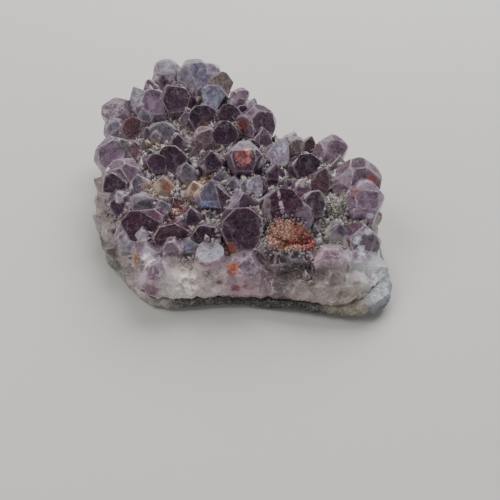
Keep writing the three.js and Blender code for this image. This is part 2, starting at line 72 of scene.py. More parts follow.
# Rings of the crust from the rock up: share of the way out and part of the shelf taken off. Those
# that meet the rock then have their height as a part of the rise, those of the wall their height as
# a part of the wall and their unevenness, and those of the brow their unevenness.
MEETING_RINGS = [(0.8, 0, 0.4), (0.975, 0.75, 0.92)]
WALL_RINGS = [(0.99, 1, 0.4, 0.9), (0.975, 1, 0.8, 1)]
BROW_RINGS = [(0.93, 1, 1), (0.8, 0.5, 1)]
FIRST_WALL_KEY = 3

# Quartz crystals: the angle of a tip face, and how unevenly side and tip faces stand off
TIP_FACE_ANGLE = math.radians(51.8)
SIXTH_TURN = math.pi / 3
SIDE_FACE_SPREAD = (0.88, 1.12)
SMALL_TIP_FACE_SETBACK = (0.06, 0.3)

# Forms of a tip, by how far its faces stand off the tip as a part of half the width: the four
# beside the first face and the opposite one, and all six under a flat cap
FORMS = {"point": (0, 0), "chisel": (0.38, 0), "blunt": (0.12, 0.24), "disc": (0, 0.7)}
NAMED_LENGTH = 18
LOWEST_FOOT = 7

# Small crystals scattered over the crust on a loose grid, and a leaning row round its edge that
# leaves the front bare
SCATTER_FROM = (-48, -46)
SCATTER_TO = (46, 40)
SCATTER_STEP = 6
SCATTER_WIDTH = (5, 7.5)
SCATTER_STAND = (3, 5.5)
SCATTER_TO_SHARE = 0.9
SCATTER_CLEARANCE = 1.4
SCATTER_LEAN_FROM_SHARE = 0.45
SCATTER_OUTWARD_LEAN = 0.5
SCATTER_STRAY_LEAN = 0.3
SCATTER_DEPTH = 3
EDGE_STEP = 9.5
EDGE_WIDTH = (6.5, 9.5)
EDGE_LEAN = (0.9, 1.4)
EDGE_STAND = (0, 2.5)
EDGE_OVERHANG = 0.3
EDGE_DEPTH = 5
EDGE_BARE = (-0.9, 1.25)
FIRST_SCATTER_ITEM = 200
FIRST_EDGE_ITEM = 600

# A repeatable chance is read off a steep wave, and each kind of choice starts at its own number
ITEM_STRIDE = 12.9898
KEY_STRIDE = 78.233
WAVE_HEIGHT = 43758.5453
LIFT_KEY = 0.5
CHOICE = {
    "tip_face": 10, "x": 20, "y": 21, "stand": 22, "lean_x": 23, "lean_y": 24, "width": 25, "turn": 26,
    "lean": 27, "tone": 30, "wear": 31, "shade": 40, "chip": 60, "chip_depth": 70, "skew": 80,
}

# The photograph's view: the lens's place in the part's terms, how far it looks down, and its focal
# length in pixels of the frame
CAMERA_PLACE = (3, -160, 158)
CAMERA_DOWN = 50
CAMERA_FOCAL_PIXELS = 560
FRAME_PIXELS = 500
SENSOR_WIDTH = 36
NEAREST_SEEN = 0.01

# Studio, in metres: the floor and its tone, the room's light, and each lamp's name, place, size,
# power and colour
FLOOR_HALF = 2.0
FLOOR_TONE = (188, 186, 180)
FLOOR_ROUGHNESS = 0.8
ROOM_COLOUR = (0.75, 0.8, 0.9, 1)
ROOM_STRENGTH = 0.27
LAMPS = [
    ("window", (0.25, 0.75, 0.7), (0.9, 0.7), 20, (0.98, 0.97, 1.0)),
    ("overhead", (-0.5, 0.05, 0.7), (0.5, 0.5), 4, (1.0, 0.98, 0.95)),
    ("fill_left", (-0.9, -0.7, 0.25), (0.6, 0.6), 3.4, (1.0, 0.99, 0.98)),
    ("fill_right", (0.9, -0.7, 0.25), (0.6, 0.6), 2.8, (0.98, 0.99, 1.0)),
]

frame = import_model()

# Tones of the quartz, as the eye sees them, 0 to 255. Blue, icy and indigo are used only for painted
# reflections of the sky on faces
TONES = {
    "dark": (73, 34, 66),
    "violet": (84, 16, 62),
    "purple": (98, 60, 92),
    "indigo": (132, 126, 148),
    "blue": (150, 154, 190),
    "icy": (180, 184, 208),
    "wine": (100, 56, 70),
    "brown": (70, 42, 48),
    "mauve": (146, 118, 138),
    "lilac": (166, 138, 164),
    "blush": (196, 160, 176),
    "petal": (190, 154, 180),
    "rosy": (160, 128, 134),
    "slate": (140, 132, 146),
    "cloudy": (170, 162, 178),
    "frost": (196, 190, 204),
    "bright": (232, 228, 242),
    "milk": (220, 210, 212),
    "olive": (136, 122, 112),
    "green": (128, 126, 112),
    "sandy": (180, 154, 130),
    "cream": (210, 198, 184),
    "crust": (188, 174, 162),
}
SMALL_TONES = ("dark", "slate", "slate", "purple", "dark", "mauve")

# Crystals whose lower part has another tone than the tip
BODY_TONES = {
    "back_cap": "dark",
    "great_back": "purple",
    "front_left_lump": "milk",
    "left_side_purple": "milk",
    "left_side_pale": "mauve",
    "orange_front": "blush",
    "red_centre": "dark",
    "pink_front": "blush",
    "small_pale_right": "mauve",
    "lilac_back": "cloudy",
    "blue_right": "purple",
    "dark_left_inner": "purple",
    "lilac_disc": "milk",
}

# Planes of a crystal: a side and a tip face in turn, six of each, and then the flat cap, if any.
# Both have the number of their face: 0 is the one towards the viewer, and they are counted towards
# +X. The other planes are where a corner is knocked off.
PLANES_OF_FACES = 12
CAP_FACE = 6
CHIP_FACE = 7
FACE_COUNT = 8

# Faces that have a tone of their own, and "sides", which are all the faces below the tip. Some are the
# faces' own colour, and some are painted light: pale, icy, blue and indigo faces towards the window and
# sky are painted reflections and highlights, and dark faces beside them are painted shade
FACE_TONES_AND_PAINTED_LIGHT = {
    "twin_left": {1: "frost", 2: "frost"},
    "lilac_back": {1: "blush", 2: "blush"},
    "great_triangle": {0: "bright", 5: "slate", 1: "dark", 2: "dark", "sides": "brown"},
    "blue_centre": {0: "indigo", 1: "dark", 5: "dark", "sides": "dark"},
    "maroon_right": {1: "cloudy", 2: "cloudy"},
    "brown_lilac": {1: "lilac", 2: "blush"},
    "great_magenta": {5: "mauve", 4: "cloudy", 1: "cloudy"},
    "outer_centre": {5: "mauve", 4: "cloudy"},
    "inner_centre": {5: "purple", 1: "mauve"},
    "red_centre": {6: "cloudy", 3: "frost", 2: "frost", 4: "frost", 5: "mauve"},
    "blue_right": {1: "blue", 2: "frost"},
    "mauve_right": {5: "lilac", 1: "wine", 0: "mauve", 6: "purple"},
    "dark_by_magenta": {3: "frost", 4: "cloudy"},
    "small_point": {0: "frost", 1: "mauve"},
    "blue_white_small": {0: "icy", 5: "frost", 1: "icy"},
    "blue_back": {0: "icy", 1: "dark", 5: "cloudy"},
    "white_edge": {0: "frost", 1: "frost"},
    "white_point": {0: "frost", 1: "slate"},
    "lilac_disc": {6: "bright"},
    "white_lump": {1: "purple", 2: "mauve", 4: "sandy", 5: "mauve", 7: "mauve"},
    "front_left_lump": {2: "mauve", 3: "mauve"},
    "left_big": {1: "wine", 2: "brown", 7: "brown"},
    "great_back": {6: "frost", 0: "indigo", 1: "slate"},
    "back_cap": {6: "frost", 0: "frost"},
    "pale_blue_triangle": {0: "bright", 5: "bright", 1: "dark", 2: "dark", "sides": "slate"},
    "bright_tooth": {1: "dark"},
    "dark_purple_right": {1: "slate", 2: "slate"},
}
FACE_SHADE = (0.82, 1.2)
# Flat caps face up into the lamps, and their tone is darkened by this much as painted shade
CAP_SHADE = 0.6

# Colour of the crystals' feet and the crust, by place: x, y, how far it reaches, colour
FOOT_TONES = [
    (-20, -51, 9, (252, 242, 232)),
    (-13, -47, 5, (190, 166, 160)),
    (-31, -49, 7, (218, 194, 204)),
    (-3, -54, 7, (220, 198, 202)),
    (7, -51, 5, (186, 156, 164)),
    (-2, -52, 3.5, (176, 122, 142)),
    (13, -47.5, 4.5, (60, 34, 42)),
    (19, -46.5, 5, (48, 26, 32)),
    (24.5, -47, 4.5, (56, 32, 36)),
    (12, -55, 4, (96, 82, 92)),
    (19, -55, 4, (222, 204, 196)),
    (26, -55, 5, (198, 186, 176)),
    (34, -51.5, 6, (132, 116, 110)),
    (-37, -47, 4, (136, 120, 116)),
    (-39, -41, 4, (140, 124, 122)),
    # painted shadow at the lower left
    (-45, -37, 5, (100, 92, 88)),
    (-20, -25, 6, (114, 86, 84)),
    (-27, -7.5, 5, (84, 72, 80)),
    (-19, 7, 4.5, (108, 100, 108)),
    (-17, 15, 4, (96, 76, 84)),
    (40, -57, 6, (206, 196, 168)),
    (46, -47, 9, (250, 252, 255)),
    (-50, -30, 11, (182, 170, 166)),
    (-56, -14, 9, (176, 158, 150)),
    (-12, 16, 9, (160, 138, 130)),
    (-24, -15, 5, (178, 158, 134)),
    (33, -25, 6, (240, 234, 222)),
    (21, -16.5, 5, (236, 228, 220)),
    (30, -20, 9, (206, 200, 188)),
]
FOOT_TONE_ELSEWHERE = (156, 142, 136)
FOOT_SHARE_ELSEWHERE = 0.15
FOOT_HEIGHT = (0.5, 3.5)
FOOT_HEIGHT_FRONT = (0.8, 4.5)
FRONT_BAND = (-47, -37)
WALL_SHARE = (0.84, 0.93)
WALL_ABOVE_FOOT = 0.2

# Colour of the host rock by place, in the same way. The near-black rows along the front are the
# rock's dark colour with painted shade, for the front lies in shadow
ROCK_TONES = [
    (-33, -50, 8, (190, 176, 170)),
    (-8, -54, 12, (48, 44, 46)),
    (14, -54, 10, (42, 40, 40)),
    (24, -58, 6, (52, 48, 46)),
    (36, -58, 6, (134, 122, 104)),
    (50, -52, 11, (150, 158, 168)),
    (-50, -34, 14, (120, 126, 110)),
]
ROCK_TONE_ELSEWHERE = (112, 112, 104)
ROCK_SHARE_ELSEWHERE = 0.1

# Where quartz has spread over the host rock: x, y, how far, from what height up, and its colour
ROCK_CRUST = [
    (45, -51, 7, (5, 9), (208, 212, 218)),
    (35, -57, 6, (2.5, 5), (190, 178, 154)),
    (-36, -48, 7, (2, 6), (206, 196, 192)),
]

# Iron stains and other coloured spots, and painted light: a few small pale and blue-white spots on
# crystal faces are painted highlights, and two dark spots in a hollow at the left are painted shade.
# x, y, z, radius, colour
STAINS_AND_PAINTED_LIGHT = [
    (0.7, 12.7, 26.3, 2.6, (138, 54, 36)),
    (0.7, -8.2, 28.5, 3.4, (208, 122, 116)),
    # a painted highlight
    (2.4, -6.6, 30.0, 1.5, (244, 170, 148)),
    (-31.5, -14.4, 20.0, 4.4, (190, 168, 152)),
    (-26.6, -15.6, 21.0, 2.2, (162, 86, 64)),
    (-16.0, -18.7, 23.5, 4.0, (204, 178, 158)),
    (13.9, -37.3, 19.5, 5.0, (236, 170, 140)),
    (18.0, -37.6, 18.8, 4.6, (196, 104, 80)),
    (22.1, -38.0, 17.0, 2.8, (184, 40, 36)),
    (21.0, -33.0, 25.5, 3.4, (112, 90, 112)),
    (44.6, -18.6, 26.6, 2.4, (140, 48, 38)),
    (37.6, -25.2, 28.4, 2.2, (128, 38, 34)),
    (36.2, -26.6, 25.6, 1.8, (118, 40, 36)),
    (-3.0, -48.4, 15.8, 2.6, (176, 82, 14)),
    (-0.4, -49.4, 14.6, 1.4, (214, 180, 184)),
    (-34.5, -44.5, 15.6, 2.6, (160, 120, 86)),
    (-34.1, 8.9, 20.3, 2.0, (190, 168, 136)),
    (-15.1, 16.0, 23.0, 2.2, (124, 82, 76)),
    (-22.0, -24.7, 17.8, 3.2, (148, 84, 70)),
    (-3.6, -41.1, 16.8, 2.6, (148, 76, 56)),
    (-43.0, 15.2, 25.0, 2.8, (84, 32, 38)),
    (-12.6, -9.6, 18.4, 3.0, (180, 150, 120)),
    (-29.8, -52.0, 9.0, 3.6, (110, 58, 94)),
    (-28.6, -50.0, 13.2, 2.4, (124, 80, 112)),
    (27.0, -21.0, 24.0, 2.6, (120, 48, 52)),
    # the next four are painted highlights
    (42.0, -37.4, 21.1, 1.5, (224, 228, 246)),
    (39.8, -41.6, 16.9, 1.8, (214, 216, 236)),
    (43.8, -28.8, 19.6, 1.5, (230, 230, 242)),
    (38.1, -39.4, 19.4, 1.6, (206, 208, 232)),
    # a painted highlight
    (-47.8, -9.0, 23.1, 0.9, (236, 226, 228)),
    (-7.0, -50.6, 10.8, 1.3, (112, 50, 76)),
    (-1.8, -51.6, 9.2, 1.9, (118, 48, 76)),
    (1.6, -51.4, 9.6, 1.3, (156, 96, 118)),
    (-30.3, -45.0, 15.9, 2.4, (250, 238, 238)),
    (45.5, -48.1, 9.1, 4.0, (250, 252, 254)),
    (-17.0, -51.6, 11.0, 4.0, (250, 242, 234)),
    # the next two are painted shade in a hollow
    (-43.0, 1.6, 25.4, 3.0, (16, 12, 12)),
    (-46.5, 6.5, 25.2, 2.4, (84, 80, 80)),
    (-32.5, 37.5, 29.4, 2.6, (78, 50, 62)),
    (33.0, -25.6, 19.6, 3.6, (206, 200, 188)),
    (36.0, -22.0, 20.6, 3.0, (196, 190, 176)),
    (20.6, -16.4, 24.0, 2.6, (214, 206, 200)),
]

# Streaks on crystal faces: painted highlights, painted reflections of the sky and one darker streak
# above the blue one. From, to, half the width, colour
GLINT_STREAKS = [
    ((8.4, -29.4, 29.2), (8.6, -33.6, 23.6), 1.4, (140, 122, 132)),
    ((12.2, -28.4, 31.0), (12.6, -29.8, 29.2), 0.5, (214, 190, 214)),
    ((-13.2, -24.5, 20.9), (-9.6, -25.0, 21.2), 1.3, (150, 168, 216)),
    ((-10.2, -20.6, 27.4), (-10.8, -22.0, 25.4), 1.2, (92, 74, 104)),
    ((12.9, -30.6, 28.2), (13.9, -32.6, 25.6), 0.75, (228, 208, 228)),
]

# Places on crystals that are grown over with druse: x, y, z, radius
OVERGROWN = [
    (13.0, -37.5, 19.0, 5.5),
    (19.5, -38.0, 18.0, 5.0),
    (34.0, -25.5, 20.5, 5.0),
]

# Crystal edges are worn by this much, in millimetres. Flats that meet at less than the sharp angle
# aren't worn there, and at less than the flat angle they are one flat
EDGE_WEAR = (0.07, 0.2)
SHARP_ANGLE = 0.2
FLAT_ANGLE = 0.01

# Two places are the same within a distance, a plane is met within a slack, and three planes have no
# corner or a vector no direction when what tells it is smaller than this
WELD_DISTANCE = 1e-4
PLANE_SLACK = 1e-6
LEAST_DETERMINANT = 1e-6
LEAST_LENGTH = 1e-12

# Corners knocked off a crystal: how many, how deep as a part of its width, and how far askew
CHIPS = 4
CHIP_DEPTH = (0.02, 0.11)
CHIP_SKEW = 0.35
TIP_SPARED = 0.2

# Each spot and streak, stain and painted light alike, is full inside its reach and fades out up to half
# as far again
SPOT_FADE = 1.5

# Detail of the surface, in millimetres: longest edges, longer ones inward of a share of the way out,
# how deep a point may lie in a crystal and still be on it, how far out it may be, and where a face
# counts as worn or as far from an edge
QUARTZ_PITCH = 1.16
ROCK_PITCH = 1.1
UNSEEN_PITCH = 4.0
UNSEEN_SHARE = 0.85
BURIED = 0.45
OUT_OF_PLANE = 0.02
NEAR_REACH = 0.5
WORN_BELOW = -0.004
FAR_FROM_EDGE = 6.0

# Noise in the materials: the size of its lumps in millimetres, detail, roughness and distortion
CLOUDS = (5, 4, 0.6, 0.6)
WISPS = (3.2, 4, 0.7, 1.5)
COARSE = (2.2, 3, 0.6)
GRAIN = (0.7, 3, 0.7)
SPECKS = (0.6, 2, 0.6)
DRUSE_SPECKS = (0.5, 2, 0.6)
ROCK_PATCHES = (4, 4, 0.6)
ROCK_LUMPS = (1.8, 3, 0.65)

# Cells in the quartz in millimetres, how far noise moves a border, and how much grain is in lumps
BLOCK_SIZE = 4
FACET_SIZE = 3
WAVER = 0.8
GRAIN_IN_LUMPS = 0.25

# Layers of the materials: from where to where in the value that a layer follows, its strength before
# and after that, and the strength after it in massive quartz, if that differs
LAYERS = {
    "body": (0.45, 0.8, 0, 1),
    "lumps": (0.44, 0.56, 0, 0.75, 0.25),
    "wisps": (0.5, 0.4, 0, 0.8),
    "glow": (0.2, 0.65, 0, 0.8),
    "veil": (0.54, 0.7, 0, 0.5),
    "veil_wisps": (0.58, 0.7, 0, 0.5),
    "border": (1.2, 2.1, 0.65, 0),
    "foot": (0.35, 0.85, 0, 0.9),
    "blocks": (0.3, 0.7, 0, 0.3, 0.55),
    "joints": (0.02, 0.07, 0.6, 0),
    "whole_joints": (0.45, 0.6, 0, 0.3, 1),
    "worn_lumps": (0.42, 0.62, 0.1, 0.9),
    "worn_clouds": (0.38, 0.56, 0.15, 1),
    # Dust by how much sky is shut out, which also paints shade into the hollows; the deepest is painted
    # shade
    "dust_and_hollow_shade": (0.45, 0.62, 0, 1),
    "pale_dust": (0.42, 0.56, 0, 1),
    "deep_hollow_shade": (0.62, 0.82, 0, 1),
    "stain_and_painted_light": (0.35, 0.9, 0, 0.85),
    "full_spot": (0.42, 0.56, 0, 1),
    "foot_in_spot": (0.5, 0.65, 0, 0.2),
    "specks": (0.4, 0.6, 0, 1),
    "rock_dark": (0.4, 0.6, 0.8, 0.1),
    "rock_pale": (0.59, 0.68, 0, 0.55),
}

# Tones that a colour takes a share of, and how much
TINTS = {
    "veil": (0.55, (200, 182, 194)),
    "joint": (0.45, (226, 216, 212)),
    "pale_dust": (0.38, (206, 198, 184)),
    "rock": (0.75, (36, 34, 34)),
}
WORN_TONE = (202, 192, 186)
# Dust: the dark tone is dust and painted shade in the hollows, and the deepest tone is painted shade
DARK_DUST_AND_SHADE = (66, 54, 52)
HOLLOW_SHADE_TONE = (30, 22, 24)
LIGHT_SPECK = (230, 222, 215)
DARK_SPECK = (20, 10, 16)
ROCK_PALE = (178, 168, 152)

# Multipliers that darken or lighten a colour
SHADE = (0.34, 0.26, 0.34, 1)
GLOW = (1.5, 1.42, 1.48, 1)
BLOCK_SHADE = (0.42, 0.36, 0.38, 1)
SPOT_SHADE = (0.3, 0.2, 0.2, 1)

# Optics, roughness, and each relief's strength and depth in millimetres. Clean quartz is polished as
# its grain goes: from where to where, and how rough before and after
QUARTZ_IOR = 1.544
CLEAR_SHARE = 0.3
DRUSE_CLEAR_SHARE = 0.2
POLISH = (0.35, 0.65, 0.06, 0.24)
DUST_ROUGHNESS = 0.75
SPOT_ROUGHNESS = 1.1
WORN_ROUGHNESS = 0.3
DRUSE_ROUGHNESS = 0.3
ROCK_ROUGHNESS = 0.8
QUARTZ_RELIEF = (0.7, 0.5)
ROCK_RELIEF = (0.8, 0.6)

# Bumps of the quartz: how high on crystals, how much more on the crust, their size and a seed. Those
# of the rock: how high, their size and a seed, and they begin between these heights
QUARTZ_BUMPS = [(0.1, 0.6, 2.6, 3), (0.05, 0.4, 1.1, 11)]
ROCK_BUMPS = [(0.5, 3.0, 5), (0.3, 1.1, 6)]
ROCK_FOOT = (0.05, 0.8)

# Edges flatter than this are shaded smooth
QUARTZ_SMOOTH_BELOW = math.radians(28)
ROCK_SMOOTH_BELOW = math.radians(40)

# Level faces are dull, and a normal this near to upright belongs to one
LEVEL = (0.76, 0.9)
LEVEL_ROUGHNESS = 0.9

# Rays that tell how much of the sky a place sees: how many, how far, how steep, and their start
SKY_RAYS = 14
SKY_REACH = 9
SKY_LOWEST = 0.12
SKY_SPAN = 0.86
SKY_START = 0.05
SKY_GRAZING = 0.03

# How much the crust and each form of crystal are rounded, from 0 to 1 in each round
SOFTENING = {"point": 0.1, "chisel": 0.1, "blunt": 0.5, "disc": 0.65, "crust": 0.5}
SOFTENING_ROUNDS = 8

# Druse in the hollows: piece, how many crystals, how wide, tones, how much of the foot's tone they
# take on, and how thickly they cover what is grown over
DRUSE = [
    ("druse_points", 1800, (1.1, 3.0),
     ("dark", "slate", "purple", "cloudy", "mauve", "crust", "dark", "olive"), (0.1, 0.6), 0),
    ("druse_grains", 8500, (0.4, 1.1),
     ("crust", "cream", "cream", "cloudy", "sandy", "milk", "slate", "green", "brown"), (0.2, 0.9), 1.5),
]

# Where druse grows: how shut in, how much on the crust, how high over the rock, how little along
# the front, on how level a place, and up to how far out
DRUSE_SHUT = (0.35, 0.7)
DRUSE_ON_CRUST = 0.6
DRUSE_HEIGHT = (2.0, 5.0)
DRUSE_OFF_FRONT = 0.9
DRUSE_SLOPE = (0.0, 0.4)
DRUSE_SHARE = (0.84, 0.92)

# A druse crystal: length in widths, how far it leans, and how uneven are its tone and the colour it
# takes from a spot, stain and painted light alike
DRUSE_LENGTH = (0.6, 1.4)
DRUSE_STRAY = 0.5
DRUSE_UPRIGHT = 0.4
DRUSE_BELOW = 0.6
DRUSE_SHOULDER = 0.2
DRUSE_TAPER = 0.8
DRUSE_UNEVEN = (0.7, 1.2)
DRUSE_TIP_ASKEW = 0.15
DRUSE_TONE_SPAN = (0.58, 1.12)
DRUSE_SPOT_SPAN = (0.7, 1.3)
DRUSE_SPOTTED = 0.4
DRUSE_SPOT_TONE_SPAN = (0.6, 1.4)

# The plate's rim, counterclockwise from the front left corner: x, y, top of the rock there, top of
# the quartz there, and how far the rock stands out past the quartz
RIM = [
    (-31, -53.5, 4.5, 11, 0.5),
    (-21, -54.5, 5, 11.5, 0.5),
    (-9, -53.5, 4.5, 11.5, 0.8),
    (3, -53.5, 4, 10.5, 1),
    (15, -54.5, 4, 10, 1),
    (27, -57, 4.5, 10, 1.5),
    (38, -59, 6, 10.5, 3),
    (46, -57.5, 8.5, 11, 6),
    (51, -51, 9, 11, 6),
    (51, -41, 7, 11.5, 3),
    (50, -29, 6, 13, 0.5),
    (48.5, -17, 6.5, 14, 0),
    (43, -6, 7, 15, 0),
    (33, 3, 7, 15, 0),
    (21, 10, 7, 15, 0),
    (12, 19, 7, 16, 0),
    (3, 29, 8, 17, 0),
    (-7, 38, 8, 18, 0),
    (-19, 43.5, 9, 19, 0),
    (-31, 42, 9, 18, 0),
    (-42, 35, 9, 16, 0),
    (-49.5, 24, 9, 15, 0),
    (-54, 11, 9, 14, 0),
    (-55.5, -3, 9, 13, 0),
    (-55, -15, 9, 12, 0.5),
    (-51.5, -27, 8.5, 11, 1),
    (-46, -37, 7, 10, 1.5),
    (-39, -47, 5.5, 9, 1),
]

